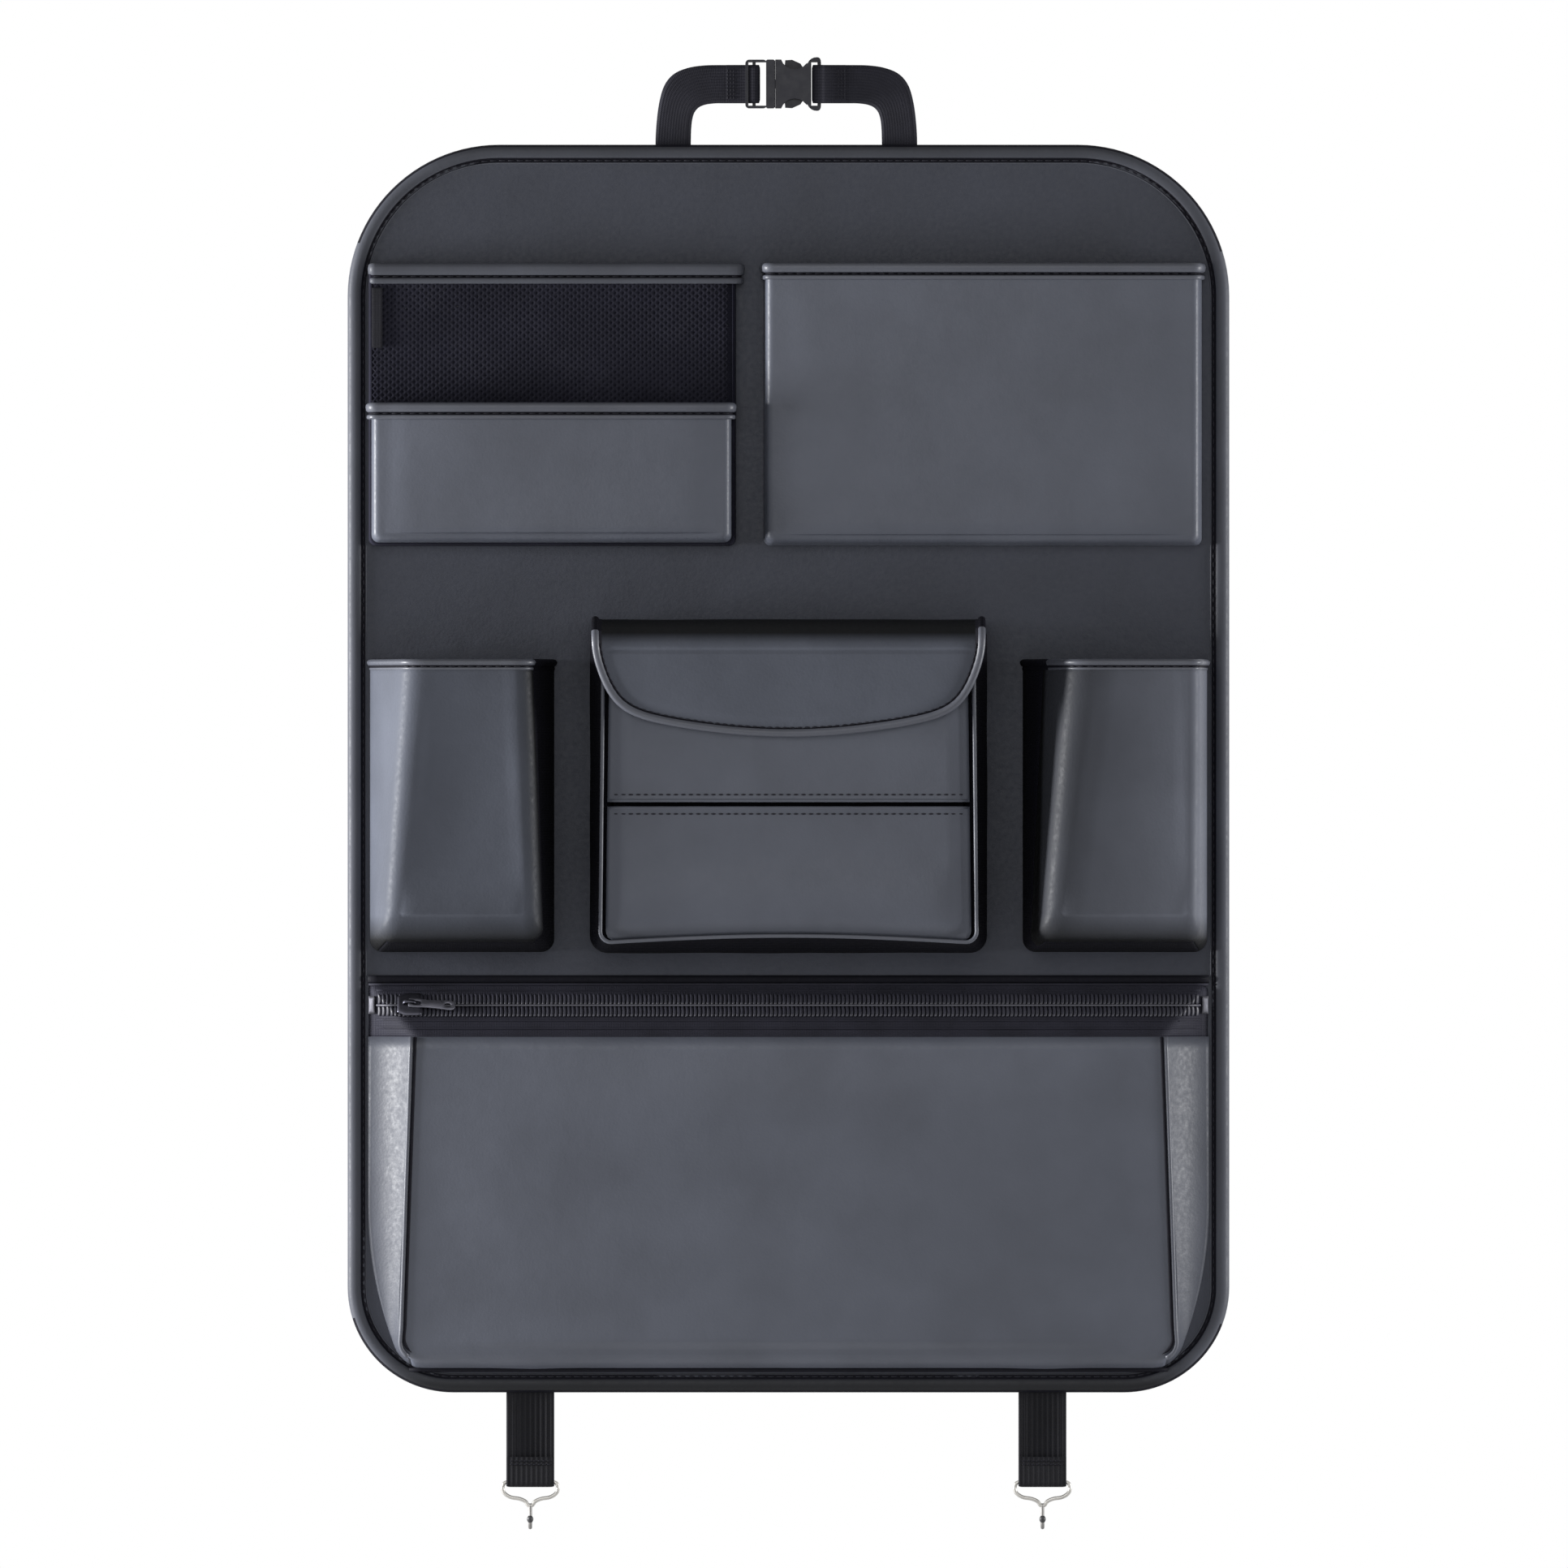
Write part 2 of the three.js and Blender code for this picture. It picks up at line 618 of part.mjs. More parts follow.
function buildTissuePocket() {
  const spec = {
    left: -tissueHalfWidth,
    right: tissueHalfWidth,
    frontLeftTop: -tissueFrontHalf,
    frontLeftBottom: -tissueFrontHalf,
    frontRightTop: tissueFrontHalf,
    frontRightBottom: tissueFrontHalf,
    top: tissueTop,
    bottom: tissueBottom,
    frontBottom: tissueFrontLow,
    depth: tissueDepth,
    edgeRadius: 0.6,
    cornerRadius: tissueCornerRadius,
    seat,
    wall,
  };
  const behindPiping = block(-reach, reach, 0, tissueFront - 2 * pipingRadius - gap, -reach, reach);
  add("tissue_gusset", "gusset", pocketShell(spec).intersect(behindPiping));
  const round = pipingRadius * 0.6;
  add("tissue_piping", "binding", rolledPlate(tissuePipingOutline(round), tissueFront - 2 * pipingRadius,
    tissueFront, round, 4));

  const half = tissueFrontHalf - 2 * pipingRadius - gap;
  const low = tissueFrontLow + 2 * pipingRadius + gap;
  const frontBack = tissueFront - pipingRadius - wall / 2;
  const frontFace = frontBack + wall;
  const slitTop = tissueSlit + tissueSlitHeight / 2;
  const slitLow = tissueSlit - tissueSlitHeight / 2;
  const upper = roundedRectangle(-half, half, slitTop, tissueTop, 0.5, 0.5);
  const lower = roundedRectangle(-half, half, low, slitLow, 0.5, tissueCornerRadius - pipingRadius);
  add("tissue_front_upper", "pocket", frontPlate(upper, frontBack, frontFace, 4));
  add("tissue_front_lower", "pocket", frontPlate(lower, frontBack, frontFace, 4));
  return frontFace;
}

function flapOutline(inset) {
  const half = flapHalfWidth - inset;
  const shape = new THREE.Shape();
  const cornerX = half - flapCornerWidth;
  const high = flapCrown + 5;
  shape.moveTo(half, high);
  shape.lineTo(-half, high);
  shape.lineTo(-half, flapSideLow);
  shape.quadraticCurveTo(-half, flapEdgeLow + inset + 4, -cornerX, flapEdgeLow + inset);
  shape.quadraticCurveTo(0, 2 * (flapTip + inset) - (flapEdgeLow + inset), cornerX, flapEdgeLow + inset);
  shape.quadraticCurveTo(half, flapEdgeLow + inset + 4, half, flapSideLow);
  return shape;
}

// The flap seen from the side, as a strip about its middle line: sewn flange, crown, shoulder and front.
function flapSide(frontMiddle, thickness, lengthen) {
  const root = seat + flapThickness / 2;
  const crown = flapCrown - flapThickness / 2;
  const points = [[root, flapRoot - lengthen], [root, crown]];
  const shoulderSteps = 6;
  for (let i = 0; i <= shoulderSteps; i += 1) {
    const turn = (Math.PI / 2) * (i / shoulderSteps);
    const across = frontMiddle - flapShoulder + flapShoulder * Math.sin(turn);
    points.push([across, crown - flapShoulder + flapShoulder * Math.cos(turn)]);
  }
  points.push([frontMiddle, flapTip - 5]);
  return ribbon(points, thickness);
}

function buildFlap(tissueFrontFace) {
  const back = tissueFrontFace + 2 * (gap + fastenerThickness) + gap;
  const middle = back + flapThickness / 2;
  const outside = 200;
  const cut = frontPlate(flapOutline(flapPipingWidth / 2), 0, outside, 8);
  const across = flapHalfWidth + 5;
  const sheet = sidePrism(flapSide(middle, flapThickness, 0), -across, across);
  const seamGroove = block(-flapHalfWidth + flapPipingWidth * 2, flapHalfWidth - flapPipingWidth * 2,
    middle + flapThickness / 2 - grooveDepth, outside, flapSeam - grooveWidth / 2, flapSeam + grooveWidth / 2);
  add("tissue_flap", "pocket", sheet.intersect(cut).subtract(seamGroove));

  const thick = sidePrism(flapSide(middle, flapThickness + 2 * (gap + skin), 0), -across, across);
  const room = sidePrism(flapSide(middle, flapThickness + 2 * gap, 5), -across, across);
  const edge = frontPlate(flapOutline(0), seat + flapThickness + 2 * gap + skin, outside, 8)
    .subtract(frontPlate(flapOutline(flapPipingWidth), 0, outside, 8));
  const roomCut = frontPlate(flapOutline(flapPipingWidth / 2 - gap), 0, outside, 8);
  add("flap_piping", "binding", thick.intersect(edge).subtract(room.intersect(roomCut)));

  const patch = (from) => frontPlate(
    roundedRectangle(-fastenerWidth / 2, fastenerWidth / 2, fastenerMiddle - fastenerHeight / 2,
      fastenerMiddle + fastenerHeight / 2, 1.5, 1.5),
    from, from + fastenerThickness, 3);
  add("fastener_loop_patch", "lining", patch(tissueFrontFace + gap));
  add("fastener_hook_patch", "lining", patch(tissueFrontFace + 2 * gap + fastenerThickness));
}

// The zipped pocket: one convex form whose upper slope carries the zip, whose front is a trapezoid between two
// seams and whose foot follows the panel's lower corners. Its layers are the form grown or shrunk.

const zipProfile = [
  [seat, zipStripTop],
  [seat + zipDepthTop, zipFrontTop],
  [seat + zipDepthBottom, zipFrontBottom],
  [seat, zipFoot],
].map(([depth, z]) => new THREE.Vector2(depth, z));
const zipCornerRadius = bottomRadius - (panelWidth / 2 - zipHalfWidth);
const facetLength = Math.hypot(facetRun, zipDepthTop);

// The profile with each of its three faces moved out by grow; its ends stay on the panel.
function grownProfile(grow) {
  const normals = [0, 1, 2].map((i) => {
    const along = zipProfile[i + 1].clone().sub(zipProfile[i]).normalize();
    return new THREE.Vector2(-along.y, along.x);
  });
  return zipProfile.map((point, i) => {
    const before = normals[Math.max(i - 1, 0)];
    const after = normals[Math.min(i, 2)];
    if (before === after) return new THREE.Vector2(seat, point.y + grow / after.y);
    return before.clone().add(after).multiplyScalar(grow / (1 + before.dot(after))).add(point);
  });
}

function zipForm(grow) {
  const [top, brow, chin, foot] = grownProfile(grow);
  const base = zipHalfWidth + grow * (facetLength / zipDepthTop);
  const frontShift = grow * ((facetLength - facetRun) / zipDepthTop);
  const points = [];
  [seat - 1, seat].forEach((depth) => {
    points.push(place(-base, depth, top.y), place(base, depth, top.y));
    const cornerSteps = 8;
    for (let i = 0; i <= cornerSteps; i += 1) {
      const turn = (Math.PI / 2) * (i / cornerSteps);
      const out = zipCornerRadius * (1 - Math.sin(turn));
      const up = zipCornerRadius * (1 - Math.cos(turn));
      points.push(place(-base + out, depth, foot.y + up), place(base - out, depth, foot.y + up));
    }
  });
  points.push(place(-zipSeamTop - frontShift, brow.x, brow.y), place(zipSeamTop + frontShift, brow.x, brow.y));
  const slope = (brow.x - chin.x) / (brow.y - chin.y);
  const arcSteps = 3;
  for (let i = 0; i <= arcSteps; i += 1) {
    const turn = (Math.PI / 2) * (i / arcSteps);
    const x = zipSeamBottom + frontShift - zipFrontRadius * (1 - Math.sin(turn));
    const rise = zipFrontRadius * (1 - Math.cos(turn));
    points.push(place(-x, chin.x + slope * rise, chin.y + rise), place(x, chin.x + slope * rise, chin.y + rise));
  }
  return solidOf(new ConvexGeometry(points)).subtract(block(-reach, reach, -reach, seat, -reach, reach));
}

// A layer of the form between two offsets, kept between two heights.
function zipLayer(inner, outer, low, high) {
  return zipForm(outer).subtract(zipForm(inner)).intersect(block(-reach, reach, 0, reach, low, high));
}

function buildZipPocket() {
  const leather = zipLayer(-wall, 0, -reach, zipFrontTop);
  const seams = (grow) => frontPlate(polygon([
    [-zipSeamTop - grow, zipFrontTop + 5],
    [-zipSeamBottom - grow, zipFrontBottom],
    [-zipSeamBottom - grow, zipFoot - 5],
    [zipSeamBottom + grow, zipFoot - 5],
    [zipSeamBottom + grow, zipFrontBottom],
    [zipSeamTop + grow, zipFrontTop + 5],
  ]), 0, reach);
  add("zip_pocket_front", "pocket", leather.intersect(seams(0)));
  const sides = leather.subtract(seams(gap));
  add("zip_gusset_left", "pocket", sides.intersect(block(-reach, 0, 0, reach, -reach, reach)));
  add("zip_gusset_right", "pocket", sides.intersect(block(0, reach, 0, reach, -reach, reach)));
}

// The zip's own frame has x along the zip, y up its slope and z out of it, with the origin where the coils meet.
const zipSlope = Math.atan2(zipDepthTop, zipStripTop - zipFrontTop);
const zipStrip = new THREE.Group();
zipStrip.rotation.x = Math.PI / 2 - zipSlope;
zipStrip.position.copy(place(0, seat + (zipStripTop - coilMiddle) * Math.tan(zipSlope), coilMiddle));
zipStrip.updateMatrix();
organizer.add(zipStrip);

function stripBlock(x0, x1, v0, v1, n0, n1) {
  const box = new THREE.BoxGeometry(x1 - x0, v1 - v0, n1 - n0);
  return solidOf(box.translate((x0 + x1) / 2, (v0 + v1) / 2, (n0 + n1) / 2));
}

const tapeFront = -(wall + gap);
const coilBack = tapeFront + gap;
const coilFront = coilBack + coilThickness;

// The notches between the turns of the coils, as one comb across the zip.
function coilComb() {
  const half = zipSeamTop + facetRun / 2;
  const floor = coilFront - coilNotch;
  const high = coilFront + 2;
  const ridges = Math.round((2 * half) / coilPitch);
  const pitch = (2 * half) / ridges;
  const points = [[half, high], [-half, high]];
  for (let i = 0; i < ridges; i += 1) {
    const x = -half + i * pitch;
    points.push([x, floor], [x + pitch / 2, floor], [x + pitch / 2, high - 1], [x + pitch, high - 1]);
  }
  const turn = new THREE.Matrix4().makeBasis(xAxis, zAxis, frontAxis);
  const comb = extrude(polygon(points), through).applyMatrix4(turn).translate(0, through / 2, 0);
  return solidOf(comb.applyMatrix4(zipStrip.matrix));
}

function buildZip() {
  const tapeLow = zipFrontTop - tapeUnderLeather;
  const middleLow = coilMiddle - coilGap / 2;
  const middleHigh = coilMiddle + coilGap / 2;
  add("zip_tape_upper", "webbing", zipLayer(tapeFront - tapeThickness, tapeFront, middleHigh, 0));
  add("zip_tape_lower", "webbing", zipLayer(tapeFront - tapeThickness, tapeFront, tapeLow, middleLow));
  const comb = coilComb();
  const coils = (low, high) => zipLayer(coilBack, coilFront, low, high).subtract(comb);
  add("zip_coil_upper", "coil", coils(middleHigh, coilTop));
  add("zip_coil_lower", "coil", coils(coilBottom, middleLow));
  const half = zipHalfWidth - gap;
  const welt = roundedRectangle(-half, half, weltTop - weltHeight, weltTop, 0.5, 0.5);
  add("zip_welt", "webbing", frontPlate(welt, seat, seat + skin, 3));
  const stops = zipLayer(coilFront + gap, coilFront + gap + stopThickness, coilBottom, coilTop);
  const stop = (x) => stops.intersect(block(x, x + stopLength, 0, reach, -reach, reach));
  add("zip_stop_left", "slider", stop(-stopOuter));
  add("zip_stop_right", "slider", stop(stopOuter - stopLength));
}

function buildSlider() {
  const slider = new THREE.Group();
  slider.position.set(sliderMiddle, 0, 0);
  zipStrip.add(slider);

  const plateBack = coilFront + gap;
  const plateFront = plateBack + sliderPlate;
  const half = sliderHalfWidth;
  const end = sliderLength / 2;
  const outline = polygon([
    [-end, -half + 1.6],
    [-end + 2.5, -half],
    [end - 1, -half],
    [end, -half + 1],
    [end, half - 1],
    [end - 1, half],
    [-end + 2.5, half],
    [-end, half - 1.6],
  ]);
  const shell = solidOf(extrude(outline, plateFront - coilBack).translate(0, 0, coilBack));
  const channelHalf = half - sliderFlange;
  const channel = stripBlock(-sliderLength, sliderLength, -channelHalf, channelHalf, coilBack - 1, plateBack);
  const bridgeTop = plateFront + bridgeRise;
  const bridge = stripBlock(-bridgeSpan / 2, bridgeSpan / 2, -bridgeWidth / 2, bridgeWidth / 2, plateFront - 0.2,
    bridgeTop);
  const underBridge = stripBlock(-bridgeSpan / 2 + bridgeBar, bridgeSpan / 2 - bridgeBar, -bridgeWidth,
    bridgeWidth, plateFront, bridgeTop - bridgeBar);
  add("zip_slider", "slider", shell.subtract(channel).add(bridge.subtract(underBridge)), slider);

  const pull = new THREE.Group();
  pull.position.set(0, 0, plateFront + (bridgeRise - bridgeBar) / 2);
  slider.add(pull);
  const plate = roundedRectangle(-pullCrossbar, pullLength, -pullWidth / 2, pullWidth / 2, 1.2, 1.2);
  const tab = solidOf(extrude(plate, pullThickness, 4).translate(0, 0, -pullThickness / 2));
  const hole = stripBlock(pullCrossbar, pullHole, -pullWidth / 2 + pullArm, pullWidth / 2 - pullArm, -2, 2);
  add("zip_pull", "slider", tab.subtract(hole), pull);
}

// The top strap: two lengths of webbing shaped into an arch, each looped round a bar of the buckle.

const archZ = panelTop + archHeight;
const tailDepth = webDepth + layerStep;
const barBack = webDepth + webThickness / 2 + gap;
const frontLayer = barBack + barThickness + gap + webThickness / 2;

// One side of the arch as a flat outline. direction is -1 for the left side.
function archOutline(direction, end) {
  const x = (distance) => strapShift + direction * distance;
  const low = panelTop - strapTail;
  const high = archZ + webWidth / 2;
  const under = archZ - webWidth / 2;
  const outer = archFoot + archLegWidth / 2;
  const inner = archFoot - archLegWidth / 2;
  const shape = new THREE.Shape();
  shape.moveTo(x(outer), low);
  shape.lineTo(x(outer), panelTop);
  shape.lineTo(x(outer - archLean), high - archOuterRadius);
  shape.quadraticCurveTo(x(outer - archLean - 1), high, x(outer - archLean - archOuterRadius), high);
  shape.lineTo(end, high);
  shape.lineTo(end, under);
  shape.lineTo(x(inner - archInnerRadius), under);
  shape.quadraticCurveTo(x(inner), under, x(inner), under - archInnerRadius);
  shape.lineTo(x(inner), low);
  return shape;
}

const plugBarLeft = plugEnd + plugEndBar + plugSlotOuter;
const plugBarRight = plugBarLeft + plugMidBar;

function buildTopStrap() {
  const loopWidth = [archZ - webWidth / 2, archZ + webWidth / 2];
  const near = plugBarRight + gap + webThickness / 2;
  const far = plugBarLeft - gap - webThickness / 2;
  const joinLeft = plugEnd - 14;
  const leftLoop = ribbon([
    [strapShift + joinLeft - 1, webDepth],
    [strapShift + near, webDepth],
    [strapShift + near, frontLayer],
    [strapShift + far, frontLayer],
    [strapShift + far, tailDepth],
    [strapShift + joinLeft, tailDepth],
  ], webThickness);
  const half = webThickness / 2;
  const leftArch = frontPlate(archOutline(-1, strapShift + joinLeft), webDepth - half, webDepth + half, 8);
  add("top_strap_left", "webbing", leftArch.add(planPrism(leftLoop, ...loopWidth)));

  const ringBarLeft = ringEnd - ringBar;
  const slotSide = ringBarLeft - gap - half;
  const outside = ringEnd + gap + half;
  const joinRight = ringEnd + 14;
  const rightLoop = ribbon([
    [strapShift + joinRight + 1, webDepth],
    [strapShift + slotSide, webDepth],
    [strapShift + slotSide, frontLayer],
    [strapShift + outside, frontLayer],
    [strapShift + outside, tailDepth],
    [strapShift + joinRight, tailDepth],
  ], webThickness);
  const rightArch = frontPlate(archOutline(1, strapShift + joinRight), webDepth - half, webDepth + half, 8);
  add("top_strap_right", "webbing", rightArch.add(planPrism(rightLoop, ...loopWidth)));
}

// Buckle pieces are drawn about the strap's middle and then moved to it.
function onStrap(solid) {
  return solid.translate([strapShift, 0, archZ]);
}

function buildPlug() {
  const midDepth = (buckleBack + buckleFront) / 2;
  const rail = roundedRectangle(plugEnd, plugBase + 0.5, -buckleHalf, buckleHalf, 2, 2);
  const frame = frontPlate(rail, barBack, frontLayer + webThickness / 2, 4);
  const slots = block(plugEnd + plugEndBar, plugBarLeft, 0, 20, -slotHalf, slotHalf)
    .add(block(plugBarRight, plugBase, 0, 20, -slotHalf, slotHalf));
  const overBar = block(plugBarLeft - 0.1, plugBarRight + 0.1, barBack + barThickness, 20, -slotHalf, slotHalf);
  const underEnd = block(plugEnd - 1, plugBarLeft, 0, tailDepth + webThickness / 2 + gap, -slotHalf, slotHalf);
  const blockShape = roundedRectangle(plugBase, socketMouth - gap, -buckleHalf, buckleHalf, 1, 1);
  const base = frontPlate(blockShape, buckleBack, buckleFront, 3);
  const arm = polygon([
    [socketMouth, armInner],
    [armTip, armInner - 0.4],
    [armTip, armInner + 1.2],
    [armTip - 1.8, 10.6],
    [scallopMiddle - 1.4, buckleHalf - 0.1],
    [-0.6, buckleHalf - 0.3],
    [-0.9, armRoot],
    [socketMouth, armRoot],
  ]);
  const armDepths = [midDepth - armThickness / 2, midDepth + armThickness / 2];
  const upperArm = frontPlate(arm, ...armDepths);
  const guide = block(socketMouth - 1, armTip - 2, ...armDepths, -2.4, 2.4);
  const plug = frame.subtract(slots).subtract(overBar).subtract(underEnd).add(base).add(guide);
  add("buckle_plug", "buckle", onStrap(plug));
  add("buckle_arm_upper", "buckle", onStrap(upperArm));
  add("buckle_arm_lower", "buckle", onStrap(upperArm.mirror([0, 0, 1])));
}

function buildSocket() {
  const half = new THREE.Shape();
  half.moveTo(socketMouth, -buckleHalf);
  half.lineTo(socketWaist - 3.4, -buckleHalf);
  half.quadraticCurveTo(socketWaist - 1.5, -buckleHalf, socketWaist - 0.6, -buckleHalf + 2);
  half.lineTo(socketWaist + 1, -buckleHalf + 2);
  half.quadraticCurveTo(socketWaist + 2.5, -ringHalf, socketWaist + 6, -ringHalf);
  half.quadraticCurveTo(ringEnd, -ringHalf, ringEnd, -ringHalf + 3);
  half.lineTo(ringEnd, ringHalf - 3);
  half.quadraticCurveTo(ringEnd, ringHalf, socketWaist + 6, ringHalf);
  half.quadraticCurveTo(socketWaist + 2.5, ringHalf, socketWaist + 1, buckleHalf - 2);
  half.lineTo(socketWaist - 0.6, buckleHalf - 2);
  half.quadraticCurveTo(socketWaist - 1.5, buckleHalf, socketWaist - 3.4, buckleHalf);
  half.lineTo(socketMouth, buckleHalf);
  const body = frontPlate(half, buckleBack, buckleFront, 4);
  const slotEnd = ringEnd - ringBar;
  const slotStart = slotEnd - ringSlot;
  const thinBack = block(slotStart - 0.5, ringEnd + 5, 0, barBack, -20, 20);
  const thinFront = block(slotStart - 0.5, ringEnd + 5, frontLayer + webThickness / 2, 20, -20, 20);
  const webSlot = block(slotStart, slotEnd, 0, 20, -slotHalf, slotHalf);
  const overBar = block(slotEnd - 0.1, ringEnd + 5, barBack + barThickness, 20, -slotHalf, slotHalf);
  const cavity = block(socketMouth - 1, armTip + 0.6, buckleBack + shellWall, buckleFront - shellWall,
    -buckleHalf + shellWall, buckleHalf - shellWall);
  const sideWindows = block(-0.9 - gap, armTip, buckleBack + shellWall, buckleFront - shellWall, -20, 20);
  const scallop = (z) => solidOf(new THREE.CylinderGeometry(scallopRadius, scallopRadius, through, 20)
    .translate(scallopMiddle, 0, z));
  const scallops = scallop(buckleHalf + 2.4).add(scallop(-buckleHalf - 2.4));
  const socket = body.subtract(thinBack).subtract(thinFront).subtract(webSlot).subtract(overBar)
    .subtract(cavity).subtract(sideWindows).subtract(scallops);
  add("buckle_socket", "buckle", onStrap(socket));
}

// The elastic straps, each looped round the bar of its hook.

const barZ = panelBottom - elasticDrop + wireRadius + gap + webThickness;
const deeDepth = webDepth + layerStep / 2;

function buildElastic(name, middle) {
  const bend = wireRadius + gap + webThickness / 2;
  const narrow = barZ + 2.6;
  const points = [
    [webDepth, panelBottom + strapTail],
    [webDepth, narrow + 1.2],
    [deeDepth - bend, barZ + 0.6],
  ];
  const bendSteps = 6;
  for (let i = 1; i < bendSteps; i += 1) {
    const turn = Math.PI * (i / bendSteps);
    points.push([deeDepth - bend * Math.cos(turn), barZ - bend * Math.sin(turn)]);
  }
  points.push([deeDepth + bend, barZ + 0.6], [tailDepth, narrow + 1.2], [tailDepth, barZ + elasticHem]);
  const half = elasticWidth / 2;
  add(name, "webbing", sidePrism(ribbon(points, webThickness), middle - half, middle + half));
}

function buildHook(name, middle) {
  const at = (x, z) => place(middle + x, deeDepth, barZ + z);
  const rightSide = [[4, 0], [10.4, 0], [deeHalf - 2, -0.1], [deeHalf - 0.7, -0.8], [deeHalf, -2.8],
    [deeHalf - 0.7, -5.9], [10, -8.1], [5.4, -8.8], [2.4, -10.2], [0.7, -12.4]];
  const leftSide = rightSide.map(([x, z]) => [-x, z]).reverse();
  const dee = new THREE.CatmullRomCurve3([...rightSide, ...leftSide].map(([x, z]) => at(x, z)), true, "chordal");
  const loop = solidOf(new THREE.ExtrudeGeometry(circle(wireRadius, 8), {
    steps: 40,
    extrudePath: dee,
    bevelEnabled: false,
  }));
  const stemTop = barZ - 11.6;
  const bendStart = stemTop - hookStem;
  const bendPoints = [place(middle, deeDepth, stemTop), place(middle, deeDepth, bendStart)];
  const bendSteps = 6;
  for (let i = 1; i <= bendSteps; i += 1) {
    const turn = Math.PI * (i / bendSteps);
    const depth = deeDepth + hookBend * (1 - Math.cos(turn));
    bendPoints.push(place(middle, depth, bendStart - hookBend * Math.sin(turn)));
  }
  bendPoints.push(place(middle, deeDepth + 2 * hookBend, bendStart + 1.2));
  const hook = tube(new THREE.CatmullRomCurve3(bendPoints, false, "chordal"), wireRadius, 8, 14);
  const tip = solidOf(new THREE.SphereGeometry(hookTipRadius, 10, 8)
    .translate(middle, -deeDepth - 2 * hookBend, bendStart + 0.6));
  add(name, "wire", loop.add(hook).add(tip));
}

buildPanel();
buildFlatPockets();
buildCupPocket("left");
buildCupPocket("right");
buildFlap(buildTissuePocket());
buildZipPocket();
buildZip();
buildSlider();
buildTopStrap();
buildPlug();
buildSocket();
buildElastic("elastic_strap_left", elasticMiddles[0]);
buildElastic("elastic_strap_right", elasticMiddles[1]);
buildHook("hook_left", elasticMiddles[0]);
buildHook("hook_right", elasticMiddles[1]);

export default organizer;
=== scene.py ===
import math

import bmesh
import bpy
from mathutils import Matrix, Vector, noise


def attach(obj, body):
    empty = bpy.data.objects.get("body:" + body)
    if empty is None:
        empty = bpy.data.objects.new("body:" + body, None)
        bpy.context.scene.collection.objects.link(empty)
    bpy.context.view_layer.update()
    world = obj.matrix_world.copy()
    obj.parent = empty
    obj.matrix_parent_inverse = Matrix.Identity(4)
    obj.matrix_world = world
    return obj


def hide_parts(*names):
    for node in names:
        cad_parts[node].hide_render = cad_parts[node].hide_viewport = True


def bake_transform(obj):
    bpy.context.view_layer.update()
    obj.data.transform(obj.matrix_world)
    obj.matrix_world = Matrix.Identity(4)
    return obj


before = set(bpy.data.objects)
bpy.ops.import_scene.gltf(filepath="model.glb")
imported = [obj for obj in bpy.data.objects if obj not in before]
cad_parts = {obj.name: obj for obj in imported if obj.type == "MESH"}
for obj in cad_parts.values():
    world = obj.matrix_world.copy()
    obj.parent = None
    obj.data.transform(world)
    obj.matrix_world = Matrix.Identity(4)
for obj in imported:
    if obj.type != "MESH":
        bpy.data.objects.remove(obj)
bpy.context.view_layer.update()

# Points below are in millimetres as (x, depth, z): x to the right, depth in front of the panel's back, z up.

PANEL_HALF_WIDTH = 230
PANEL_HALF_HEIGHT = 325.5
TOP_RADIUS = 79
BOTTOM_RADIUS = 55
PANEL_FACE = 5.0
SEAT = 5.4
LEATHER = 1.4
TO_FRONT = Vector((0, 1, 0))
# A hem's top lies this far above the pocket that it is folded over
HEM_FOLD = 1.3
STITCH_PITCH = 4.8
STITCH_LENGTH = 3.2
ROOT = "organizer"


# Node materials

# A wave texture of scale 1 repeats after this many units
WAVE_SCALE = 0.314


